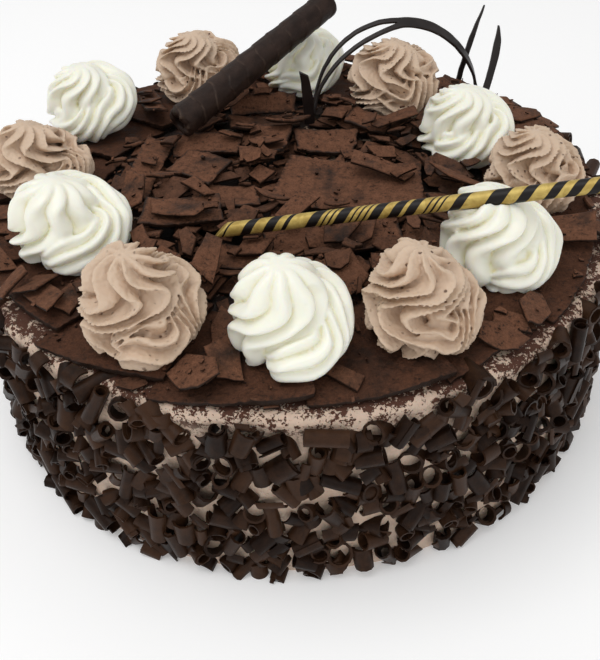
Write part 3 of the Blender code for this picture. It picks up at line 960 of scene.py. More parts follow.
class HeightField:
    """Heights over a square grid in plan, on which loose pieces come to rest."""

    def __init__(self, half: float, pitch: float, level: float) -> None:
        """Make a level field.

        Args:
            half: Half the side of the square.
            pitch: Distance between grid points.
            level: Its height everywhere.
        """
        self.half = half
        self.pitch = pitch
        count = int(2.0 * half / pitch) + 1
        self.heights = np.full((count, count), level)

    def cells(self, plan: np.ndarray) -> tuple[np.ndarray, np.ndarray]:
        """Find the grid cell under each point of a plan."""
        index = np.clip(
            np.rint((plan[:, :2] + self.half) / self.pitch).astype(int), 0,
            self.heights.shape[0] - 1,
        )
        return index[:, 0], index[:, 1]

    def at(self, plan: np.ndarray) -> np.ndarray:
        """Read the height under each point."""
        return self.heights[self.cells(plan)]

    def raise_to(self, points: np.ndarray) -> None:
        """Lift the field to the given points."""
        np.maximum.at(self.heights, self.cells(points), points[:, 2])

    def lower_to(self, points: np.ndarray) -> None:
        """Press the field down to the given points."""
        np.minimum.at(self.heights, self.cells(points), points[:, 2])

    def rays(self, node: str, upward: bool) -> np.ndarray:
        """Sample one side of a CAD node.

        Args:
            node: The node's name.
            upward: True for its underside, seen from below.

        Returns:
            The points met, one for each grid cell that the node covers.
        """
        tree = cad_tree(node)
        low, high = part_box(node)
        start = low.z - 0.01 if upward else high.z + 0.01
        ray = UP if upward else -UP
        found = []
        for x in np.arange(low.x, high.x + self.pitch, self.pitch):
            for y in np.arange(low.y, high.y + self.pitch, self.pitch):
                hit = tree.ray_cast(Vector((x, y, start)), ray)[0]
                if hit:
                    found.append(tuple(hit))
        return np.array(found).reshape(-1, 3)


# --- The cake's body ---


@dataclass
class CreamBody:
    """The cream-coated cake: spread by hand, so its side and rim are a little uneven."""

    finish: CoatCreamFinish
    node: str = "cake"
    edge: float = 0.0035
    inset: float = 0.0010
    unevenness: float = 0.0007
    broad_scale: float = 45.0
    broad_squash: float = 2.6
    streak_scale: float = 60.0
    streak_height: float = 420.0
    columns: int = 420
    side_rows: int = 40
    edge_rows: int = 10
    top_rows: int = 34

    def profile(self, radius: float, height: float) -> np.ndarray:
        """List (radius, height) from the foot, over the rim, to the middle of the top."""
        rows = [(radius - 0.0006, 0.0), (radius, 0.0006)]
        rows += [(radius, z) for z in np.linspace(0.002, height - self.edge, self.side_rows)]
        for angle in np.linspace(0.0, math.pi / 2.0, self.edge_rows)[1:]:
            rows.append((
                radius - self.edge * (1.0 - math.cos(angle)),
                height - self.edge * (1.0 - math.sin(angle)),
            ))
        reach = radius - self.edge
        rows += [(reach * share, height) for share in np.linspace(1.0, 0.02, self.top_rows)[1:]]
        return np.array(rows)

    def build(self) -> bpy.types.Object:
        """Turn the profile and press the spatula's marks into it."""
        low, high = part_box(self.node)
        radius = (high.x - low.x) / 2.0 - self.inset
        profile = self.profile(radius, high.z)
        rings = []
        for reach, height in profile:
            ring = []
            for angle in np.linspace(0.0, math.tau, self.columns, endpoint=False):
                outward = Vector((math.cos(angle), math.sin(angle), 0.0))
                spot = outward * reach + UP * height
                squashed = Vector((spot.x, spot.y, spot.z * self.broad_squash))
                broad = noise.noise(squashed * self.broad_scale)
                streak = noise.noise(Vector((
                    spot.x * self.streak_scale, spot.y * self.streak_scale,
                    spot.z * self.streak_height,
                )))
                swell = self.unevenness * (0.8 * broad + 0.45 * streak - 0.5)
                outer = smooth(reach, radius * 0.8, radius)
                lift = 0.4 * self.unevenness * (broad - 0.6) * smooth(height, 0.06, 0.075)
                ring.append(spot + outward * (swell * outer) + UP * float(lift))
            rings.append(ring)
        return tube("cream_body", np.array(rings))

    def dress(self) -> None:
        """Build the body and give it its cream."""
        body = self.build()
        dress(body, self.finish.material(), [self.node])


# --- The coat of curls ---


@dataclass(frozen=True)
class RolledCurl:
    """A scraped curl: a thin ribbon of chocolate rolled up past a full turn."""

    turns: float
    wall: float
    tightening: float
    skew: float
    flare: float
    steps: int

    def build(self, name: str) -> bpy.types.Object:
        """Make the curl one unit long and about one unit in radius, along its own x."""
        rows = []
        for step in range(self.steps + 1):
            share = step / self.steps
            angle = math.tau * self.turns * share
            radius = 1.0 - self.tightening * share
            across = [
                (-0.5 + self.skew * share, 1.0),
                (0.5 + self.skew * share * 0.5, 1.0 + self.flare),
            ]
            row = []
            for wall in (0.0, self.wall):
                for length, widen in across:
                    reach = (radius - wall) * widen
                    row.append((length, reach * math.cos(angle), reach * math.sin(angle)))
            rows.append((row[0], row[1], row[3], row[2]))
        points = np.array(rows).reshape(-1, 3)
        faces = grid_faces(self.steps + 1, 4, True)
        faces += [(3, 2, 1, 0), tuple(self.steps * 4 + corner for corner in range(4))]
        obj = new_object(name, points, faces)
        bm = bmesh.new()
        bm.from_mesh(obj.data)
        bmesh.ops.recalc_face_normals(bm, faces=bm.faces)
        bm.to_mesh(obj.data)
        bm.free()
        obj.data.set_sharp_from_angle(angle=math.radians(50.0))
        return obj


@dataclass(frozen=True)
class CurlKind:
    """One kind of curl: how many shapes it comes in, and what its shapes range over."""

    name: str
    count: int
    turns: Span
    wall: Span
    tightening: Span
    skew: Span
    flare: Span
    steps: int = 14

    def shapes(self, chance: np.random.Generator) -> list[bpy.types.Object]:
        """Make the shapes."""
        spans = (self.turns, self.wall, self.tightening, self.skew, self.flare)
        return [
            RolledCurl(*(chance.uniform(*span) for span in spans), self.steps).build(
                f"{self.name}_{number}")
            for number in range(self.count)
        ]


@dataclass
class SideCurls:
    """The coat round the side: rolled curls pressed into the cream, with chips between."""

    node: str = "side_curls"
    cake: str = "cake"
    curl: CurlKind = CurlKind(
        "curl", count=12, turns=(1.05, 1.55), wall=(0.17, 0.24), tightening=(0.10, 0.42),
        skew=(-0.22, 0.22), flare=(-0.10, 0.16),
    )
    chip: CurlKind = CurlKind(
        "chip", count=10, turns=(0.16, 0.48), wall=(0.14, 0.22), tightening=(-0.1, 0.15),
        skew=(-0.45, 0.45), flare=(-0.18, 0.22), steps=7,
    )
    chip_count: int = 680
    curl_tries: int = 60000
    chip_tries: int = 9000
    radius: Span = (0.0028, 0.0043)
    half_length: Span = (0.0038, 0.0068)
    lean_spread: float = 32.0
    stand_off: float = 0.0022
    closeness: float = 0.70
    chip_radius: Span = (0.0020, 0.0046)
    chip_half_length: Span = (0.0022, 0.0046)
    chip_stand_off: Span = (0.0002, 0.0016)
    chip_lean_spread: float = 10.0
    chip_clearance: float = 0.0011
    chip_bulk: float = 0.0013
    patch_scale: float = 125.0
    bare_below: float = -0.20
    top_fall: float = 0.008
    top_rise: float = 0.0008
    top_sway: float = 0.0022
    sunk: float = 0.0032
    top_scale: float = 38.0
    chip_closeness: float = 0.40
    cell: float = 0.012
    margin: float = 0.010
    seed: int = 5

    def build(self, material: bpy.types.Material) -> list[bpy.types.Object]:
        """Pack the curls and chips round the side.

        Args:
            material: Their chocolate.

        Returns:
            The piece of curls and the piece of chips.
        """
        chance = np.random.default_rng(self.seed)
        low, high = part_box(self.node)
        outer = min(-low.x, -low.y, high.x, high.y) - 0.0002
        body = (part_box(self.cake)[1].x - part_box(self.cake)[0].x) / 2.0
        packing = Packing(outer + self.margin, self.cell)
        curls, chips = Scattering.empty(), Scattering.empty()
        curl_shapes, chip_shapes = self.curl.shapes(chance), self.chip.shapes(chance)
        for _ in range(self.curl_tries):
            radius, half = chance.uniform(*self.radius), chance.uniform(*self.half_length)
            lean = chance.normal(0.0, self.lean_spread)
            reach = outer - radius - half * abs(math.sin(math.radians(lean))) * 0.8
            reach = min(reach - chance.uniform(0.0, 0.0006), body + self.stand_off)
            roll = chance.uniform(0.0, math.tau)
            spot = self.spot(chance, reach, (low.z, high.z), (half, radius), lean, roll)
            if spot is None or not packing.fits(*spot[:2], radius, self.closeness):
                continue
            packing.add(*spot[:2], radius)
            curls.put(
                (spot[0] + spot[1]) / 2.0, spot[2], (2.0 * half, radius, radius),
                int(chance.integers(len(curl_shapes))), chance.uniform(0.15, 0.75),
            )
        for _ in range(self.chip_tries):
            if len(chips.places) >= self.chip_count:
                break
            radius = chance.uniform(*self.chip_radius)
            half = chance.uniform(*self.chip_half_length)
            spot = self.spot(
                chance, body + chance.uniform(*self.chip_stand_off), (low.z, high.z),
                (half, radius * 0.8), chance.normal(0.0, self.chip_lean_spread), CHIP_ROLL,
            )
            if spot is None or not packing.fits(
                    *spot[:2], self.chip_clearance, self.chip_closeness):
                continue
            packing.add(*spot[:2], self.chip_bulk)
            middle = (spot[0] + spot[1]) / 2.0
            outward = Vector((middle.x, middle.y, 0.0)).normalized()
            chips.put(
                middle - outward * radius * 0.72, spot[2], (2.0 * half, radius, radius),
                int(chance.integers(len(chip_shapes))), chance.uniform(0.1, 0.8),
            )
        pieces = [
            curls.realise("side_curls_rolled", curl_shapes, material),
            chips.realise("side_curls_chips", chip_shapes, material),
        ]
        for piece in pieces:
            points = points_of(piece)
            points[:, 2] = np.maximum(points[:, 2], low.z)
            reach = np.linalg.norm(points[:, :2], axis=1)
            points[:, :2] *= np.minimum(1.0, outer / reach)[:, None]
            set_points(piece, points)
        return pieces

    def spot(self, chance: np.random.Generator, reach: float, heights: tuple[float, float],
             size: tuple[float, float], lean: float,
             roll: float) -> tuple[Vector, Vector, Matrix] | None:
        """Try one place on the side.

        Args:
            chance: The source of random numbers.
            reach: Distance of the piece's middle from the cake's axis.
            heights: The lowest and highest level that the piece may touch.
            size: Half the piece's length, and its radius.
            lean: How far its axis tips away from the cake.
            roll: How far it is turned about its own axis.

        Returns:
            Both ends and the turn, or None where it would stand out of the coat.
        """
        (floor, top), (half, radius) = heights, size
        angle = chance.uniform(0.0, math.tau)
        height = chance.uniform(floor, top)
        spin = math.radians(chance.uniform(0.0, 180.0))
        spot = Vector((reach * math.cos(angle), reach * math.sin(angle), height))
        if noise.noise(spot * self.patch_scale) < self.bare_below:
            return None
        top -= self.top_fall * max(0.0, noise.noise(spot.xy.to_3d() * self.top_scale))
        outward = Vector((math.cos(angle), math.sin(angle), 0.0))
        around = UP.cross(outward)
        flat = around * math.cos(spin) + UP * math.sin(spin)
        tip = math.radians(lean)
        along = flat * math.cos(tip) + outward * math.sin(tip)
        middle = outward * reach + UP * height
        first, last = middle - along * half, middle + along * half
        rise = radius * math.sqrt(max(0.0, 1.0 - along.z**2))
        crest = top + self.top_rise + self.top_sway * noise.noise(outward * 9.0)
        if min(first.z, last.z) - rise < floor - self.sunk or max(first.z, last.z) + rise > crest:
            return None
        side = along.cross(outward if abs(along.dot(outward)) < 0.9 else UP).normalized()
        turn = Matrix((along, side, along.cross(side))).transposed()
        return first, last, turn @ Matrix.Rotation(roll, 3, "X")

    def dress(self) -> None:
        """Build the coat and finish it."""
        material = ChocolateFinish(uses_tone=True).material()
        for piece in self.build(material):
            dress(piece, material, [self.node])


class Packing:
    """Round-ended bars kept apart from each other in space."""

    def __init__(self, half: float, cell: float) -> None:
        """Set the size of the search cells."""
        self.half = half
        self.cell = cell
        self.bars: dict[tuple[int, int, int], list[tuple]] = {}

    def key(self, point: Vector) -> tuple[int, int, int]:
        """Find the cell of a point."""
        return tuple(int((part + self.half) // self.cell) for part in point)

    def add(self, first: Vector, last: Vector, radius: float) -> None:
        """Keep a bar."""
        self.bars.setdefault(self.key((first + last) / 2.0), []).append((first, last, radius))

    def fits(self, first: Vector, last: Vector, radius: float, closeness: float) -> bool:
        """Say whether a bar keeps clear of those already there.

        Args:
            first: One end.
            last: The other end.
            radius: Its radius.
            closeness: Share of the two radii that has to stay clear.

        Returns:
            True where it fits.
        """
        home = self.key((first + last) / 2.0)
        for dx in (-1, 0, 1):
            for dy in (-1, 0, 1):
                for dz in (-1, 0, 1):
                    for other in self.bars.get((home[0] + dx, home[1] + dy, home[2] + dz), ()):
                        need = (radius + other[2]) * closeness
                        if bar_distance(first, last, other[0], other[1]) < need:
                            return False
        return True


def bar_distance(start: Vector, end: Vector, other_start: Vector, other_end: Vector) -> float:
    """Find the least distance between two straight bars.

    Args:
        start: One end of the first bar.
        end: Its other end.
        other_start: One end of the second bar.
        other_end: Its other end.

    Returns:
        The distance between their middle lines.
    """
    first, second, gap = end - start, other_end - other_start, start - other_start
    a, b, c = first.dot(first), first.dot(second), second.dot(second)
    d, e = first.dot(gap), second.dot(gap)
    spread = a * c - b * b
    share = min(1.0, max(0.0, (b * e - c * d) / spread)) if spread > 1e-12 else 0.0
    other = min(1.0, max(0.0, (b * share + e) / c))
    share = min(1.0, max(0.0, (b * other - d) / a))
    return (start + first * share - other_start - second * other).length


# --- Shards ---


def sort_by_place(bm: bmesh.types.BMesh) -> None:
    """Put a mesh's parts in order of place, as subdividing leaves them in a new one each run."""
    bm.verts.sort(key=lambda vert: vert.co.dot(SORT_AXIS))
    bm.edges.sort(key=lambda edge: (edge.verts[0].co + edge.verts[1].co).dot(SORT_AXIS))
    bm.faces.sort(key=lambda face: face.calc_center_median().dot(SORT_AXIS))


@dataclass
class BrokenPlate:
    """A large shard: its CAD plate with worn edges, ragged breaks and a wavy face."""

    node: str
    wear: float = 0.00028
    mesh_size: float = 0.0017
    ragged: float = 0.0008
    ragged_reach: float = 0.0030
    wave: float = 0.00040
    worn_reach: float = 0.0016
    lift: float = 0.0
    lift_reach: float = 0.0090

    def build(self) -> bpy.types.Object:
        """Refine the plate and break its outline."""
        obj = cad_copy(self.node, f"{self.node}_broken")
        bm = bmesh.new()
        bm.from_mesh(obj.data)
        sharp = [edge for edge in bm.edges if edge.calc_face_angle(0.0) > math.radians(50.0)]
        outline = [edge.verts[0].co.lerp(edge.verts[1].co, share)
                   for edge in sharp for share in (0.0, 0.25, 0.5, 0.75)]
        bmesh.ops.bevel(
            bm, geom=sharp, offset=self.wear, segments=2, profile=0.6, affect="EDGES"
        )
        for _ in range(6):
            long = [edge for edge in bm.edges if edge.calc_length() > self.mesh_size]
            if not long:
                break
            bmesh.ops.subdivide_edges(bm, edges=long, cuts=1)
            sort_by_place(bm)
            bmesh.ops.triangulate(bm, faces=bm.faces)
            sort_by_place(bm)
        bm.to_mesh(obj.data)
        bm.free()
        self.roughen(obj, np.array(outline))
        obj.data.shade_smooth()
        obj.data.set_sharp_from_angle(angle=math.radians(60.0))
        return obj

    def roughen(self, obj: bpy.types.Object, outline: np.ndarray) -> None:
        """Push the outline in and out within the plate, and the faces up and down.

        Args:
            obj: The plate.
            outline: Points along its edges.
        """
        points = points_of(obj)
        middle = points.mean(axis=0)
        across = np.linalg.svd(outline - outline.mean(axis=0), full_matrices=False)[2][2]
        near = np.sqrt(((points[:, None, :] - outline[None, :, :]) ** 2).sum(axis=2)).min(axis=1)
        weight = 1.0 - smooth(near, 0.0, self.ragged_reach)
        level = (points[:, 2] - points[:, 2].min()) / np.ptp(points[:, 2])
        lifted = self.lift * smooth(level, 0.45, 0.90) * (1.0 - smooth(near, 0.0, self.lift_reach))
        moved = points.copy()
        for index, point in enumerate(points):
            flat = Vector(point - across * ((point - middle) @ across))
            push = noise.noise_vector(flat * 230.0) + 0.5 * noise.noise_vector(flat * 620.0)
            push = np.array(push) * self.ragged * weight[index]
            push -= across * (push @ across)
            inward = middle - point
            inward -= across * (inward @ across)
            inward /= max(np.linalg.norm(inward), 1e-6)
            push += inward * self.ragged * 0.45 * weight[index]
            rise = noise.noise(flat * 95.0) + 0.3 * noise.noise(flat * 420.0)
            moved[index] = point + push + across * rise * self.wave
            moved[index, 2] += lifted[index] * max(0.0, 0.5 + noise.noise(flat * 50.0))
        set_points(obj, moved)
        # Marks the outline where the finish takes powder off: partly bare broken edges, partly painted
        # shade along the seams.
        carry(obj, "edge", 1.0 - smooth(near, self.worn_reach * 0.3, self.worn_reach))


@dataclass(frozen=True)
class Fragment:
    """A small broken plate with straight breaks, and a slight bend along its length."""

    corners: int
    bend: float
    seed: int
    side_points: int = 3

    def outline(self) -> np.ndarray:
        """List the outline, about one unit from the middle."""
        chance = np.random.default_rng(self.seed)
        angles = np.sort((np.arange(self.corners) + chance.uniform(-0.28, 0.28, self.corners)))
        angles = (angles + 0.5) * math.tau / self.corners
        reach = chance.uniform(0.78, 1.05, self.corners)
        corners = np.stack([np.cos(angles) * reach, np.sin(angles) * reach], axis=1)
        points = []
        for this, after in zip(corners, np.roll(corners, -1, axis=0)):
            for step in range(self.side_points):
                share = step / self.side_points
                jag = chance.uniform(-0.035, 0.035, 2) if step else 0.0
                points.append(this + (after - this) * share + jag)
        return np.array(points)

    def sheet(self, plan: np.ndarray) -> np.ndarray:
        """Find the middle height, in thicknesses, over points of the plan."""
        return self.bend * (plan[:, 0] ** 2 - 0.4)

    def covers(self, plan: np.ndarray) -> np.ndarray:
        """Say which points of the plan lie on the plate."""
        outline = self.outline()
        reach = np.interp(
            np.arctan2(plan[:, 1], plan[:, 0]), np.arctan2(outline[:, 1], outline[:, 0]),
            np.linalg.norm(outline, axis=1), period=math.tau,
        )
        return np.linalg.norm(plan, axis=1) <= reach

    def build(self, name: str) -> bpy.types.Object:
        """Make the plate one thickness tall."""
        outline = self.outline()
        rings = np.concatenate([outline, outline * 0.93, outline * 0.5, [[0.0, 0.0]]])
        count = len(outline)
        height = self.sheet(rings)
        points, faces = [], []
        for side in (0.5, -0.5):
            first = len(points)
            rim = np.where(np.arange(len(rings)) < count, 0.62 * side, side)
            points += list(np.column_stack([rings, height + rim]))
            side_faces = grid_faces(3, count, True)
            side_faces += [(2 * count + c, 2 * count + (c + 1) % count, 3 * count)
                           for c in range(count)]
            for face in side_faces:
                order = face if side > 0 else face[::-1]
                faces.append(tuple(first + corner for corner in order))
        under = len(rings)
        faces += [(column, under + column, under + (column + 1) % count, (column + 1) % count)
                  for column in range(count)]
        obj = new_object(name, points, faces)
        obj.data.set_sharp_from_angle(angle=math.radians(55.0))
        return obj


@dataclass(frozen=True)
class LooseLayer:
    """One layer of the heap: how many fragments, how big and how far out."""

    tries: int
    count: int
    length: Span
    reach: Span
    top: float
    powder: Span
    wobble: float
    thickness: Span = (0.0009, 0.0015)


@dataclass
class ShardHeap:
    """Small shards, each laid down on what is already there."""

    bed: str = "shard_bed"
    slimness: Span = (0.38, 0.85)
    clearance: float = 0.00015
    pitch: float = 0.0006
    steepest: float = 0.45
    seed: int = 12
    lower_layers: int = 2
    overhang: float = 0.004
    core_inset: float = 0.003
    core_foot: float = 0.0002
    core_swell: float = 0.0004
    core_grit: float = 0.0002
    core_columns: int = 180
    core_rows: int = 60
    crumbs: LooseLayer = LooseLayer(
        tries=900, count=320, length=(0.0009, 0.0028), reach=(0.0, 0.1185), top=0.0920,
        powder=(0.5, 1.0), wobble=20.0, thickness=(0.0004, 0.0009),
    )

    def layers(self) -> tuple[LooseLayer, ...]:
        """List the layers, from the cream up."""
        inner, middle, rim = (0.0, 0.070), (0.010, 0.076), (0.070, 0.1165)
        return (
            LooseLayer(tries=2600, count=360, length=(0.011, 0.028), reach=inner, top=0.0895,
                       powder=(0.5, 1.0), wobble=6.0),
            LooseLayer(tries=600, count=60, length=(0.005, 0.012), reach=(0.066, 0.118),
                       top=0.0830, powder=(0.6, 1.0), wobble=4.0),
            LooseLayer(tries=700, count=22, length=(0.018, 0.034), reach=middle, top=0.0935,
                       powder=(0.85, 1.0), wobble=8.0),
            LooseLayer(tries=420, count=34, length=(0.005, 0.013), reach=middle, top=0.0935,
                       powder=(0.6, 1.0), wobble=12.0),
            LooseLayer(tries=2600, count=44, length=(0.017, 0.036), reach=rim, top=0.0885,
                       powder=(0.75, 1.0), wobble=5.0),
            LooseLayer(tries=300, count=22, length=(0.005, 0.012), reach=(0.070, 0.114),
                       top=0.0870, powder=(0.6, 1.0), wobble=6.0),
        )

    def fields(self) -> tuple[HeightField, HeightField, HeightField, dict[str, np.ndarray]]:
        """Read the floor and both ceilings from the CAD nodes.

        Returns:
            The floor, the ceiling under the large shards, the ceiling under the
            decorations, and the large shards' upper faces.
        """
        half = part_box("cake")[1].x
        floor = HeightField(half, self.pitch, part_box("cake")[1].z + self.core_foot)
        low_ceiling, high_ceiling = (HeightField(half, self.pitch, 1.0) for _ in range(2))
        tops = {}
        for node in nodes_named("shard_0", "shard_1", "rim_shard_"):
            low_ceiling.lower_to(floor.rays(node, True))
            tops[node] = floor.rays(node, False)
        for node in nodes_named("white_", "chocolate_", "striped_", "arch", "spike_"):
            under = floor.rays(node, True)
            low_ceiling.lower_to(under)
            high_ceiling.lower_to(under)
        return floor, low_ceiling, high_ceiling, tops

    def lay(self, fragment: Fragment, floor: HeightField, ceiling: HeightField,
            layer: LooseLayer, chance: np.random.Generator) -> tuple | None:
        """Drop one fragment.

        Args:
            fragment: Its shape.
            floor: What it falls on.
            ceiling: What it must stay under.
            layer: Its layer.
            chance: The source of random numbers.

        Returns:
            Its place, turn and size, or None where it doesn't fit.
        """
        length = chance.uniform(*layer.length)
        size = np.array([length, length * chance.uniform(*self.slimness),
                         chance.uniform(*layer.thickness)]) * [0.5, 0.5, 1.0]
        angle, spin = chance.uniform(0.0, math.tau, 2)
        reach = math.sqrt(chance.uniform(layer.reach[0] ** 2, layer.reach[1] ** 2))
        centre = np.array([math.cos(angle) * reach, math.sin(angle) * reach])
        steps = int(max(size[0], size[1]) * 2.2 / self.pitch)
        axis = np.linspace(-1.0, 1.0, max(steps, 8))
        plan = np.stack(np.meshgrid(axis, axis), axis=-1).reshape(-1, 2)
        plan = plan[fragment.covers(plan)]
        local = np.column_stack([plan * size[:2], fragment.sheet(plan) * size[2]])
        spun = np.array(Matrix.Rotation(spin, 3, "Z"))
        footprint = local @ spun.T
        ground = floor.at(footprint[:, :2] + centre)
        terms = np.column_stack([footprint[:, :2], np.ones(len(footprint))])
        slope = np.linalg.lstsq(terms, ground, rcond=None)[0][:2]
        slope = slope + np.tan(np.radians(chance.normal(0.0, layer.wobble, 2)))
        steep = np.linalg.norm(slope)
        slope *= min(1.0, self.steepest / max(steep, 1e-9))
        tilt = UP.rotation_difference(Vector((-slope[0], -slope[1], 1.0))).to_matrix()
        turn = tilt @ Matrix.Rotation(spin, 3, "Z")
        local = local @ np.array(turn).T
        thick = size[2] / 2.0 + self.clearance
        spots = local[:, :2] + centre
        rest = (floor.at(spots) - local[:, 2]).max() + thick
        top = local[:, 2] + rest + thick
        edge = np.linalg.norm(spots, axis=1).max()
        if top.max() > layer.top or edge > layer.reach[1] + self.overhang:
            return None
        if (top > ceiling.at(spots)).any():
            return None
        floor.raise_to(np.column_stack([spots, top]))
        return Vector((*centre, rest)), turn, tuple(size)

    def fill(self, pile: Scattering, fragments: list[Fragment], layer: LooseLayer,
             floor: HeightField, ceiling: HeightField, chance: np.random.Generator) -> int:
        """Lay one layer of fragments.

        Args:
            pile: The scattering that they are added to.
            fragments: Their shapes.
            layer: The layer.
            floor: What they fall on.
            ceiling: What they must stay under.
            chance: The source of random numbers.

        Returns:
            How many found a place.
        """
        placed = 0
        for _ in range(layer.tries):
            if placed >= layer.count:
                break
            kind = int(chance.integers(len(fragments)))
            found = self.lay(fragments[kind], floor, ceiling, layer, chance)
            if found:
                pile.put(*found, kind, chance.uniform(*layer.powder))
                placed += 1
        return placed

    def core(self) -> bpy.types.Object:
        """Make the low mound of fine broken chocolate under the heap."""
        low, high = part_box(self.bed)
        radius = (high.x - low.x) / 2.0 - self.core_inset
        foot = low.z + self.core_foot
        shares = np.linspace(1.0, 0.02, self.core_rows)
        rings = []
        for row, share in enumerate(np.concatenate([shares[:1], shares])):
            ring = []
            for angle in np.linspace(0.0, math.tau, self.core_columns, endpoint=False):
                outward = Vector((math.cos(angle), math.sin(angle), 0.0))
                spot = outward * radius * share * (1.0 + 0.03 * noise.noise(outward * 4.0))
                grit = noise.noise(spot * 420.0) + 0.7 * noise.noise(spot * 900.0)
                rise = self.core_swell * float(1.0 - smooth(share, 0.9, 1.0))
                rise += self.core_grit * grit
                ring.append(spot + UP * (foot + max(0.0, rise) * (row > 0)))
            rings.append(ring)
        return tube("shard_core", np.array(rings))

    def dress(self) -> None:
        """Lay the heap and finish it."""
        chance = np.random.default_rng(self.seed)
        fragments = [
            Fragment(int(chance.integers(4, 7)), chance.uniform(-1.1, 1.4), number)
            for number in range(14)
        ]
        shapes = [fragment.build(f"fragment_{number}")
                  for number, fragment in enumerate(fragments)]
        floor, low_ceiling, high_ceiling, tops = self.fields()
        loose = Scattering.empty()
        for number, layer in enumerate(self.layers()):
            if number == self.lower_layers:
                for top in tops.values():
                    floor.raise_to(top)
            ceiling = low_ceiling if number < self.lower_layers else high_ceiling
            placed = self.fill(loose, fragments, layer, floor, ceiling, chance)
            LOG.info("shard layer %d: %d fragments", number + 1, placed)
        grains = [Fragment(4 + number % 3, 0.0, 50 + number, side_points=1) for number in range(6)]
        grain_shapes = [grain.build(f"grain_{number}") for number, grain in enumerate(grains)]
        crumbs = Scattering.empty()
        self.fill(crumbs, grains, self.crumbs, floor, high_ceiling, chance)
        powdered = CocoaShardFinish(name="cocoa_dusted_fragments", uses_tone=True).material()
        heap = loose.realise("small_shards", shapes, powdered)
        dress(heap, powdered, [self.bed])
        grit = crumbs.realise("loose_crumbs", grain_shapes, powdered)
        dress(grit, powdered, [self.bed])
        bare = BedFinish().material()
        dress(self.core(), bare, [self.bed])


@dataclass
class LargeShards:
    """The large cocoa-dusted shards in the middle and on the rim, their cocoa painted lighter in the
    middle and darker on the rim.
    """

    # Painted light and shade: the middle and the rim are one cocoa, lighter in the middle and darker
    # on the rim, as the front lies in less light.
    middle: CocoaShardFinish = CocoaShardFinish()
    # The rim plates also lose half as much powder near their edges: less edge wear and less painted
    # seam shade.
    rim: CocoaShardFinish = CocoaShardFinish(
        name="cocoa_dusted_rim", powder=shade_of(84, 54, 39), amount=0.90, wear=0.5,
    )
    rim_lift: float = 0.0013

    def dress(self) -> None:
        """Refine every large shard and finish it."""
        for finish, lift, starts in (
            (self.middle, 0.0, ("shard_0", "shard_1")), (self.rim, self.rim_lift, ("rim_shard_",))
        ):
            material = finish.material()
            for node in nodes_named(*starts):
                piece = BrokenPlate(node, lift=lift).build()
                dress(piece, material, [node])


# --- Rosettes ---


@dataclass(frozen=True)
class Nozzle:
    """A star nozzle and the hand that pipes with it; lengths are shares of the width."""

    ridges: int
    depth: float
    power: float
    rope: float
    lap: float
    lap_twist: float
    lift: float
    peak: float
    peak_aside: float
    peak_twist: float
    sway: float
    waver: float
    wobble: float
    tear: float


class Piping(Enum):
    """The two creams, each with its nozzle."""

    WHITE = Nozzle(
        ridges=9, depth=0.42, power=0.62, rope=0.220, lap=0.90, lap_twist=-1.8, lift=0.36,
        peak=0.400, peak_aside=0.090, peak_twist=1.8, sway=0.26, waver=0.04,
        wobble=0.0011, tear=0.00004,
    )
    CHOCOLATE = Nozzle(
        ridges=9, depth=0.54, power=2.3, rope=0.220, lap=0.90, lap_twist=-2.2, lift=0.32,
        peak=0.420, peak_aside=0.075, peak_twist=1.3, sway=0.72, waver=0.06,
        wobble=0.0019, tear=0.00026,
    )


def rope_tree() -> bpy.types.NodeTree:
    """Build the geometry tree that sweeps a star section along a piped path.

    Returns:
        A tree with named inputs for the star and the finish. Each point of the
        path carries the rope's girth and tilt.
    """
    tree = bpy.data.node_groups.new("piped_rope", "GeometryNodeTree")
    face = tree.interface
    face.new_socket("Path", in_out="INPUT", socket_type="NodeSocketGeometry")
    for name in ("Ridges", "Depth", "Power"):
        face.new_socket(name, in_out="INPUT", socket_type="NodeSocketFloat")
    face.new_socket("Finish", in_out="INPUT", socket_type="NodeSocketMaterial")
    face.new_socket("Geometry", in_out="OUTPUT", socket_type="NodeSocketGeometry")
    graph = Graph(tree)
    given, result = graph.add("NodeGroupInput"), graph.add("NodeGroupOutput")
    resolution = 144
    circle = graph.add("GeometryNodeCurvePrimitiveCircle", {"Resolution": resolution, "Radius": 1.0})
    index = graph.add("GeometryNodeInputIndex").outputs[0]
    around = graph.times(index, math.pi / resolution)
    swing = graph.math("COSINE", graph.times(around, given.outputs["Ridges"]))
    wave = graph.math("ABSOLUTE", swing)
    crest = graph.math("POWER", wave, given.outputs["Power"])
    fall = graph.times(graph.minus(1.0, crest), given.outputs["Depth"])
    star = graph.add(
        "ShaderNodeVectorMath",
        {0: graph.add("GeometryNodeInputPosition").outputs[0], "Scale": graph.minus(1.0, fall)},
        operation="SCALE",
    )
    profile = graph.add(
        "GeometryNodeSetPosition", {"Geometry": circle.outputs[0], "Position": star.outputs[0]}
    )
    path = graph.add("GeometryNodeMeshToCurve", {"Mesh": given.outputs["Path"]})
    tilted = graph.add(
        "GeometryNodeSetCurveTilt", {"Curve": path.outputs[0], "Tilt": graph.carried("tilt")}
    )
    rope = graph.add(
        "GeometryNodeCurveToMesh",
        {"Curve": tilted.outputs[0], "Profile Curve": profile.outputs[0],
         "Scale": graph.carried("girth"), "Fill Caps": True},
    )
    finish = graph.add(
        "GeometryNodeSetMaterial",
        {"Geometry": rope.outputs[0], "Material": given.outputs["Finish"]},
    )
    real = graph.add("GeometryNodeRealizeInstances", {"Geometry": finish.outputs[0]})
    graph.feed(result.inputs[0], real.outputs[0])
    return tree


@dataclass(frozen=True)
class Strand:
    """A stretch of piped rope: its middle line, its girth and how it is turned."""

    points: np.ndarray
    girth: np.ndarray
    tilt: np.ndarray


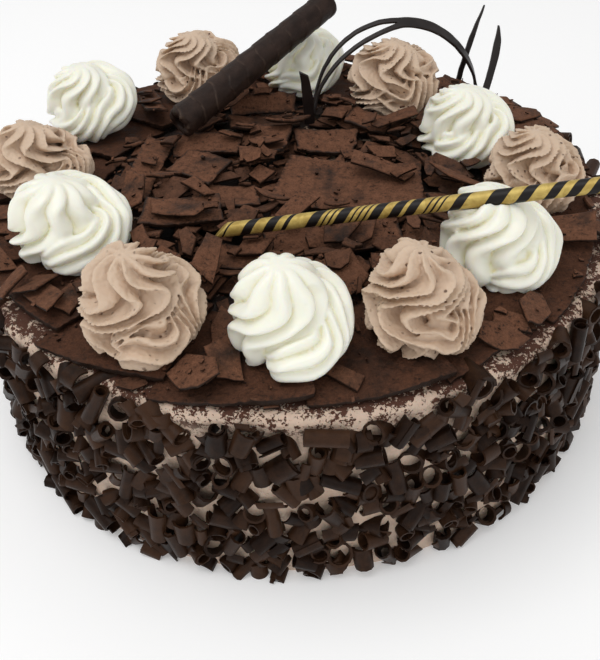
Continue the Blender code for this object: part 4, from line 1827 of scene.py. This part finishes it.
@dataclass
class Rosette:
    """One piped rosette: a ridged rope wound once round, then up and pulled off."""

    node: str
    piping: Piping
    seed: int
    lap_steps: int = 110
    lap_from: Span = (212.0, 30.0)
    closing: float = 0.28
    peak_steps: int = 64
    peak_from: Span = (175.0, 40.0)
    peak_bend: float = 0.02
    roundness: float = 3.6
    tip: float = 0.0003
    voxel: float = 0.00046
    wobble_scale: float = 105.0
    stretch: float = 1.06
    groove_rounds: int = 26
    groove_depth: float = 0.0009

    def lap(self, width: float, height: float, chance: np.random.Generator) -> "Strand":
        """Lay the rope once round the foot.

        Args:
            width: The rosette's width.
            height: Its height.
            chance: The source of random numbers.

        Returns:
            The strand, round the rosette's foot.
        """
        nozzle = self.piping.value
        rope = nozzle.rope * width * chance.uniform(0.95, 1.05)
        t = np.linspace(0.0, 1.0, self.lap_steps)
        start, spread = self.lap_from
        start = math.radians(start + chance.uniform(-spread, spread))
        angle = start + math.tau * nozzle.lap * t
        ring = (width / 2.0 - rope) * (1.0 - self.closing * smooth(t, 0.70, 1.0))
        ring *= 1.0 + nozzle.waver * np.sin(t * 19.0 + chance.uniform(0.0, 6.0))
        level = 0.66 * rope + nozzle.lift * height * smooth(t, 0.12, 0.85)
        twist = nozzle.lap_twist * chance.uniform(0.75, 1.25)
        tilt = twist * math.tau * 0.5 * t + chance.uniform(0.0, 6.0)
        tilt = tilt + nozzle.sway * np.sin(t * 21.0 + chance.uniform(0.0, 6.0))
        points = np.column_stack([ring * np.cos(angle), ring * np.sin(angle), level])
        return Strand(points, rope * (0.30 + 0.70 * smooth(t, 0.0, 0.12)), tilt)

    def peak(self, width: float, height: float, chance: np.random.Generator) -> "Strand":
        """Raise the ridged dome that ends the rope in the middle.

        Args:
            width: The rosette's width.
            height: Its height.
            chance: The source of random numbers.

        Returns:
            The strand, round the rosette's foot.
        """
        nozzle = self.piping.value
        u = np.linspace(0.0, 1.0, self.peak_steps)
        away, spread = self.peak_from
        away = math.radians(away + chance.uniform(-spread, spread))
        reach = nozzle.peak_aside * width * (1.0 - 0.35 * u)
        bend = self.peak_bend * width * np.sin(u * math.pi) * chance.uniform(-1.0, 1.0)
        points = np.column_stack([
            reach * math.cos(away) + bend, reach * math.sin(away), height * (0.03 + 0.97 * u),
        ])
        dome = (0.90 + 0.10 * smooth(u, 0.0, 0.2)) * np.maximum(1.0 - u**self.roundness, 0.0) ** 0.50
        tilt = nozzle.peak_twist * chance.uniform(0.7, 1.3) * u + chance.uniform(0.0, 6.0)
        tilt = tilt + nozzle.sway * np.sin(u * 9.0 + chance.uniform(0.0, 6.0))
        return Strand(points, nozzle.peak * width * dome + self.tip, tilt)

    def build(self, material: bpy.types.Material) -> bpy.types.Object:
        """Pipe the rosette in its CAD box.

        Args:
            material: Its cream.

        Returns:
            The rosette as one closed mesh.
        """
        low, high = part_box(self.node)
        width = (high.x - low.x + high.y - low.y) / 2.0
        height = high.z - low.z
        chance = np.random.default_rng(self.seed)
        strands = [self.lap(width, height, chance), self.peak(width, height, chance)]
        points = np.concatenate([strand.points for strand in strands])
        links, first = [], 0
        for strand in strands:
            last = first + len(strand.points) - 1
            links += [(step, step + 1) for step in range(first, last)]
            first = last + 1
        mesh = bpy.data.meshes.new(self.node)
        mesh.from_pydata([tuple(point) for point in points], links, [])
        obj = linked(f"{self.node}_piped", mesh)
        carry(obj, "girth", np.concatenate([strand.girth for strand in strands]))
        carry(obj, "tilt", np.concatenate([strand.tilt for strand in strands]))
        tree = bpy.data.node_groups.get("piped_rope") or rope_tree()
        nozzle = self.piping.value
        add_tree(
            obj, tree, Ridges=float(nozzle.ridges), Depth=nozzle.depth, Power=nozzle.power,
            Finish=material,
        )
        merge = obj.modifiers.new("merge", "REMESH")
        merge.mode = "VOXEL"
        merge.voxel_size = self.voxel
        merge.use_smooth_shade = True
        settle_modifiers(obj)
        self.place(obj, low, high, width)
        return obj

    def place(self, obj: bpy.types.Object, low: Vector, high: Vector, width: float) -> None:
        """Stand the rosette in its box and mark how deep each point lies in a groove, for the painted
        shade there.

        Args:
            obj: The piped mesh, round its own foot.
            low: The box's lowest corner.
            high: The box's highest corner.
            width: The rosette's width.
        """
        nozzle = self.piping.value
        points = points_of(obj)
        links = np.empty(len(obj.data.edges) * 2, dtype=np.int32)
        obj.data.edges.foreach_get("vertices", links)
        links = links.reshape(-1, 2)
        points = relaxed(points, links, 1)
        points += nozzle.wobble * np.array(
            [noise.noise_vector(Vector(point) * self.wobble_scale + UP * self.seed)
             for point in points])
        points[:, 2] = np.maximum(points[:, 2], 0.0)
        scale = np.array([width, width, high.z - low.z]) / np.maximum(
            np.ptp(points, axis=0), 1e-6)
        middle = (points.max(axis=0) + points.min(axis=0)) / 2.0
        points = (points - middle) * np.minimum(scale, self.stretch)
        points[:, 2] += (high.z - low.z) / 2.0
        points[:, 2] = np.maximum(points[:, 2], 0.0)
        points += [(low.x + high.x) / 2.0, (low.y + high.y) / 2.0, low.z]
        set_points(obj, points)
        normals = np.empty(len(obj.data.vertices) * 3)
        obj.data.vertices.foreach_get("normal", normals)
        normals = normals.reshape(-1, 3)
        # Groove depth, which the cream's finish turns into painted shade.
        hollow = ((relaxed(points, links, self.groove_rounds) - points) * normals).sum(axis=1)
        carry(obj, "groove", np.clip(hollow / self.groove_depth, 0.0, 1.0))
        ripple = np.array([noise.noise(Vector(point) * 900.0) + noise.noise(
            Vector(point) * 300.0) for point in points])
        points += normals * (ripple * nozzle.tear)[:, None]
        points[:, 2] = np.maximum(points[:, 2], low.z)
        set_points(obj, points)


def relaxed(points: np.ndarray, links: np.ndarray, rounds: int) -> np.ndarray:
    """Move each point towards the mean of its neighbours, several times.

    Args:
        points: The points.
        links: Pairs of linked points.
        rounds: How many times.

    Returns:
        The moved points.
    """
    both = np.concatenate([links, links[:, ::-1]])
    count = np.maximum(np.bincount(both[:, 0], minlength=len(points)), 1)[:, None]
    for _ in range(rounds):
        total = np.column_stack([
            np.bincount(both[:, 0], weights=points[both[:, 1], axis], minlength=len(points))
            for axis in range(3)
        ])
        points = points * 0.4 + total / count * 0.6
    return points


@dataclass
class RosetteRing:
    """The ring of white and chocolate rosettes."""

    # The groove and pit colours are painted shade.
    white: PipedCreamFinish = PipedCreamFinish(
        "white_cream", crest=shade_of(247, 246, 232), groove=shade_of(232, 226, 176),
        pit=shade_of(236, 234, 214), pits=0.25, pit_size=330.0, roughness=0.24, relief=0.00012,
        scatter=0.35,
    )
    chocolate: PipedCreamFinish = PipedCreamFinish(
        "chocolate_cream", crest=shade_of(208, 183, 159), groove=shade_of(170, 144, 122),
        pit=shade_of(98, 72, 57), pits=1.0, pit_size=380.0, roughness=0.50, relief=0.00040,
        scatter=0.10,
    )

    def dress(self) -> None:
        """Pipe every rosette and finish it."""
        for piping, finish in ((Piping.WHITE, self.white), (Piping.CHOCOLATE, self.chocolate)):
            material = finish.material()
            word = piping.name.lower()
            for number, node in enumerate(nodes_named(f"{word}_rosette_")):
                piece = Rosette(node, piping, seed=number + 31 * piping.value.ridges).build(material)
                StickGroove().press(piece)
                dress(piece, material, [node])


@dataclass(frozen=True)
class StickGroove:
    """The groove that the striped stick presses into the rosette under it."""

    stick: str = "striped_stick"
    clearance: float = 0.0003

    def press(self, piece: bpy.types.Object) -> None:
        """Push down whatever stands in or above the stick's way."""
        axis = Axis.of(self.stick)
        along, side, up = axis.turns()
        radius = stick_radius(self.stick) + self.clearance
        points = points_of(piece)
        offset = points - np.array(axis.low)
        reach, across, rise = offset @ along, offset @ side, offset @ up
        room = np.sqrt(np.maximum(radius**2 - across**2, 0.0))
        inside = (np.abs(across) < radius) & (rise > -room) & (reach > 0) & (reach < axis.length)
        drop = np.where(inside, rise + room, 0.0)
        set_points(piece, points - up * drop[:, None])


def stick_radius(node: str) -> float:
    """Measure the radius of a straight round CAD node."""
    axis = Axis.of(node)
    along, side, _ = axis.turns()
    across = (cad_points(node) - np.array(axis.low)) @ side
    return float(np.ptp(across)) / 2.0


# --- Chocolate decorations ---


@dataclass
class Cigar:
    """The rolled cigar: a sheet of chocolate scraped up into a tapered roll."""

    node: str = "chocolate_cigar"
    pitch: float = 0.0090
    step: float = 0.00060
    rounding: float = 0.0022
    hole: float = 0.42
    hole_depth: float = 0.0035
    crest: float = 0.04
    crest_width: float = 0.07
    fray: float = 0.0018
    fray_reach: float = 0.0090
    columns: int = 96
    rows: int = 360

    def build(self) -> bpy.types.Object:
        """Wind the roll along its CAD node's middle line."""
        axis = Axis.of(self.node)
        along, side, up = axis.turns()
        radii = self.end_radii(axis)
        low = np.array(axis.low)
        rings, worn = [], []
        angles = np.linspace(0.0, math.tau, self.columns, endpoint=False)[::-1]
        for depth in np.linspace(self.hole_depth, 0.0005, 5):
            rings.append(self.ring(low, along, side, up, depth, radii[0] * self.hole, 0.0))
            worn += [0.0] * self.columns
        for row in range(self.rows + 1):
            distance = axis.length * row / self.rows
            share = row / self.rows
            end = min(distance, axis.length - distance)
            inset = self.rounding - math.sqrt(
                max(0.0, self.rounding**2 - max(0.0, self.rounding - end) ** 2))
            radius = radii[0] + (radii[1] - radii[0]) * share - inset
            if row == self.rows:
                radius *= 0.6
            rings.append(self.ring(low, along, side, up, distance, radius, 1.0 - share * 0.75))
            # Painted highlight: marks the strip just past where the sheet's edge winds over, fading
            # towards the high end; the finish paints it pale.
            wound = np.array([self.wound(distance, angle) for angle in angles])
            rubbed = 1.0 - smooth(wound, self.crest, self.crest + self.crest_width)
            worn += list(rubbed * (1.0 - 0.8 * share))
        piece = tube("chocolate_cigar_rolled", np.array(rings))
        carry(piece, "edge", np.array(worn + [0.0, 0.0]))
        return piece

    def wound(self, distance: float, angle: float) -> float:
        """Return how far round the sheet has come since its edge last passed, 0 to 1."""
        drift = noise.noise(Vector((math.cos(angle), math.sin(angle), distance * 70.0)))
        return (distance / self.pitch - angle / math.tau + 0.25 * drift) % 1.0

    def end_radii(self, axis: Axis) -> tuple[float, float]:
        """Measure the roll's radius near each end of its CAD node."""
        along, side, up = axis.turns()
        offset = cad_points(self.node) - np.array(axis.low)
        reach = offset @ along
        radius = np.hypot(offset @ side, offset @ up)
        half = axis.length / 2.0
        return float(radius[reach < half].max()), float(radius[reach > half].max())

    def ring(self, low: np.ndarray, along: np.ndarray, side: np.ndarray, up: np.ndarray,
             distance: float, radius: float, ledges: float) -> np.ndarray:
        """Make one ring, with the ledge where the sheet's edge winds over itself."""
        ring = []
        for angle in np.linspace(0.0, math.tau, self.columns, endpoint=False):
            wound = self.wound(distance, angle)
            ledge = self.step * (1.0 - wound) * ledges if wound > self.crest else 0.0
            broken = 0.5 + 0.5 * noise.noise(Vector((math.cos(angle), math.sin(angle), 1.2)) * 2.5)
            frayed = self.fray * broken * float(1.0 - smooth(distance, 0.0, self.fray_reach))
            grain = 0.00018 * noise.noise(Vector((
                math.cos(angle) * 3.0, math.sin(angle) * 3.0, distance * 160.0)))
            reach = radius - self.step * ledges * 0.7 + ledge + (grain if ledges else 0.0)
            direction = side * math.cos(angle) + up * math.sin(angle)
            ring.append(low + along * (distance + frayed) + direction * reach)
        return np.array(ring[::-1])

    def dress(self) -> None:
        """Build the cigar and finish it."""
        # The pale colour along the sheet's edge is a painted highlight.
        finish = ChocolateFinish(
            name="cigar_chocolate", dark=shade_of(26, 16, 12), light=shade_of(62, 46, 39),
            shine=0.40, gleam=0.17, size=170.0, relief=0.00030, worn=0.42,
        )
        dress(self.build(), finish.material(), [self.node])


@dataclass
class StripedStick:
    """The thin stick rolled in a sheet with slanting gold and dark bands."""

    node: str = "striped_stick"
    plan: str = "tMtXwLwMmXwStStSwStStStSwMwSwMtStStMwXxLwLwMwMwMtStStSwLwM"
    start: float = 0.0041
    slope: float = 0.0020
    band_edge: float = 0.0008
    spread: Span = (0.88, 1.12)
    seed: int = 4
    pinch: float = 0.93
    columns: int = 48
    rows: int = 620

    def bands(self, length: float) -> list[tuple[float, float]]:
        """List the start and end of each dark band; small letters of the plan are dark.

        Args:
            length: The stick's length.

        Returns:
            Pairs of distances from the low end.
        """
        widths = {"t": 0.0007, "m": 0.0016, "w": 0.0036, "x": 0.0056,
                  "S": 0.0014, "M": 0.0031, "L": 0.0046, "X": 0.0068}
        chance = np.random.default_rng(self.seed)
        reach, found = self.start, []
        for kind in self.plan:
            after = reach + widths[kind] * chance.uniform(*self.spread)
            if kind.islower():
                found.append((reach, after))
            reach = after
            if reach > length:
                break
        return found

    def build(self) -> bpy.types.Object:
        """Make the stick with its slanting low end and mark its bands."""
        axis = Axis.of(self.node)
        along, side, up = axis.turns()
        radius = stick_radius(self.node)
        slant = self.slant(axis, radius)
        bands = self.bands(axis.length)
        rings, dark = [], []
        for row in range(self.rows + 1):
            share = row / self.rows
            ring = []
            for angle in np.linspace(0.0, math.tau, self.columns, endpoint=False)[::-1]:
                direction = side * math.cos(angle) + up * math.sin(angle)
                base = float(slant @ np.array([1.0, math.cos(angle), math.sin(angle)]))
                distance = base + (axis.length - base) * share
                girth = self.pinch if row in (0, self.rows) else 1.0
                ring.append(
                    np.array(axis.low) + along * distance + direction * radius * girth)
                flat = distance - self.slope * ((angle + math.pi / 2.0) % math.tau - math.pi)
                inside = max(min(flat - first, last - flat) for first, last in bands)
                dark.append(0.5 + inside / self.band_edge)
            rings.append(ring)
        piece = tube("striped_stick_rolled", np.array(rings))
        carry(piece, "band", np.clip(dark + [0.0, 0.0], 0.0, 1.0))
        return piece

    def slant(self, axis: Axis, radius: float) -> np.ndarray:
        """Fit the plane of the low end's cut: its level, and its slope each way."""
        along, side, up = axis.turns()
        offset = cad_points(self.node) - np.array(axis.low)
        reach = offset @ along
        near = reach < axis.length / 2.0
        across = offset[near] @ np.column_stack([side, up]) / radius
        edge = np.linalg.norm(across, axis=1) > 0.9
        terms = np.column_stack([np.ones(edge.sum()), across[edge]])
        return np.linalg.lstsq(terms, reach[near][edge], rcond=None)[0]

    def dress(self) -> None:
        """Build the stick and finish it."""
        dress(self.build(), StripedFinish().material(), [self.node])


@dataclass
class ThinRibbon:
    """An arch or a spike: its CAD band with rounded, slightly uneven edges."""

    node: str
    levels: int = 3
    crease: float = 0.45
    unevenness: float = 0.00016

    def build(self) -> bpy.types.Object:
        """Round the band."""
        obj = cad_copy(self.node, f"{self.node}_drawn")
        bm = bmesh.new()
        bm.from_mesh(obj.data)
        bmesh.ops.join_triangles(
            bm, faces=bm.faces, angle_face_threshold=0.6, angle_shape_threshold=1.2)
        layer = bm.edges.layers.float.new("crease_edge")
        for edge in bm.edges:
            if edge.calc_face_angle(0.0) > math.radians(50.0):
                edge[layer] = self.crease
        bm.to_mesh(obj.data)
        bm.free()
        rounding = obj.modifiers.new("rounding", "SUBSURF")
        rounding.levels = self.levels
        rounding.render_levels = self.levels
        settle_modifiers(obj)
        points = points_of(obj)
        shift = np.array([noise.noise_vector(Vector(point) * 260.0) for point in points])
        set_points(obj, points + shift * self.unevenness)
        obj.data.shade_smooth()
        return obj


@dataclass
class ThinDecorations:
    """The arch and the upright blades."""

    def dress(self) -> None:
        """Round each band and finish it."""
        finish = ChocolateFinish(
            name="dark_chocolate", dark=shade_of(18, 12, 11), light=shade_of(40, 30, 27),
            shine=0.28, gleam=0.35, size=120.0, relief=0.00006,
        )
        material = finish.material()
        for node in nodes_named("arch", "spike_"):
            dress(ThinRibbon(node).build(), material, [node])


# --- Stage ---


@dataclass
class Studio:
    """A pale floor, soft light from above and behind the viewer's left, and the camera."""

    floor_half: float = 12.0
    lens: float = 46.36
    eye: tuple[float, float, float] = (0.0, -0.2886, 0.2544)
    downward: float = 40.8
    sideways: float = 0.12
    roll: float = -2.22
    sky: float = 0.62
    key_power: float = 5.2
    key_size: float = 0.9
    key_place: tuple[float, float, float] = (-0.35, -0.15, 1.15)
    fill_power: float = 1.1

    def floor(self) -> None:
        """Lay the floor."""
        half = self.floor_half
        corners = [(-half, -half, 0.0), (half, -half, 0.0), (half, half, 0.0), (-half, half, 0.0)]
        obj = new_object("studio_floor", corners, [(0, 1, 2, 3)], rounded=False)
        obj.data.materials.append(FloorFinish().material())
        obj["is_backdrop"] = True

    def camera(self) -> None:
        """Set up the camera."""
        data = bpy.data.cameras.new("camera")
        data.lens = self.lens
        data.sensor_width = 36.0
        data.clip_start = 0.01
        obj = linked("camera", data)
        down, aside, roll = (
            math.radians(angle) for angle in (self.downward, self.sideways, self.roll)
        )
        forward = Vector((
            math.sin(aside) * math.cos(down), math.cos(aside) * math.cos(down), -math.sin(down)
        ))
        right = forward.cross(UP).normalized()
        rise = right.cross(forward)
        across = right * math.cos(roll) + rise * math.sin(roll)
        upward = rise * math.cos(roll) - right * math.sin(roll)
        turn = Matrix((across, upward, -forward)).transposed().to_4x4()
        obj.matrix_world = Matrix.Translation(self.eye) @ turn
        bpy.context.scene.camera = obj

    def light(self, name: str, place: tuple[float, float, float], power: float, size: float) -> None:
        """Hang a soft square light that faces the cake."""
        data = bpy.data.lights.new(name, "AREA")
        data.energy = power
        data.size = size
        obj = linked(name, data)
        obj.location = place
        aim = Vector((0.0, 0.0, 0.06)) - Vector(place)
        obj.rotation_euler = aim.to_track_quat("-Z", "Y").to_euler()

    def world(self) -> None:
        """Surround the cake with even white light."""
        world = bpy.data.worlds.new("studio")
        world.use_nodes = True
        background = world.node_tree.nodes["Background"]
        background.inputs["Color"].default_value = (1.0, 1.0, 1.0, 1.0)
        background.inputs["Strength"].default_value = self.sky
        bpy.context.scene.world = world

    def build(self) -> None:
        """Set up the whole studio."""
        self.floor()
        self.camera()
        self.world()
        self.light("key_light", self.key_place, self.key_power, self.key_size)
        self.light("front_light", (0.25, -0.9, 0.55), self.fill_power, 0.7)
        bpy.context.scene.view_settings.view_transform = "Standard"


def clear_start_file() -> None:
    """Remove whatever the start-up file holds beside the frame."""
    kept = {*frame["nodes"].values(), *frame["bodies"].values()}
    for obj in list(bpy.data.objects):
        if obj not in kept:
            bpy.data.objects.remove(obj)


def main(cad_box: tuple[Vector, Vector]) -> None:
    """Build every piece in order.

    Args:
        cad_box: The CAD part's box; not used.
    """
    logging.basicConfig(level=logging.INFO, format="%(name)s: %(message)s")
    noise.seed_set(NOISE_SEED)
    Studio().build()
    CreamBody(CoatCreamFinish()).dress()
    SideCurls().dress()
    LargeShards().dress()
    ShardHeap().dress()
    RosetteRing().dress()
    Cigar().dress()
    StripedStick().dress()
    ThinDecorations().dress()


if __name__ == "__main__":
    clear_start_file()
    main(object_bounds())
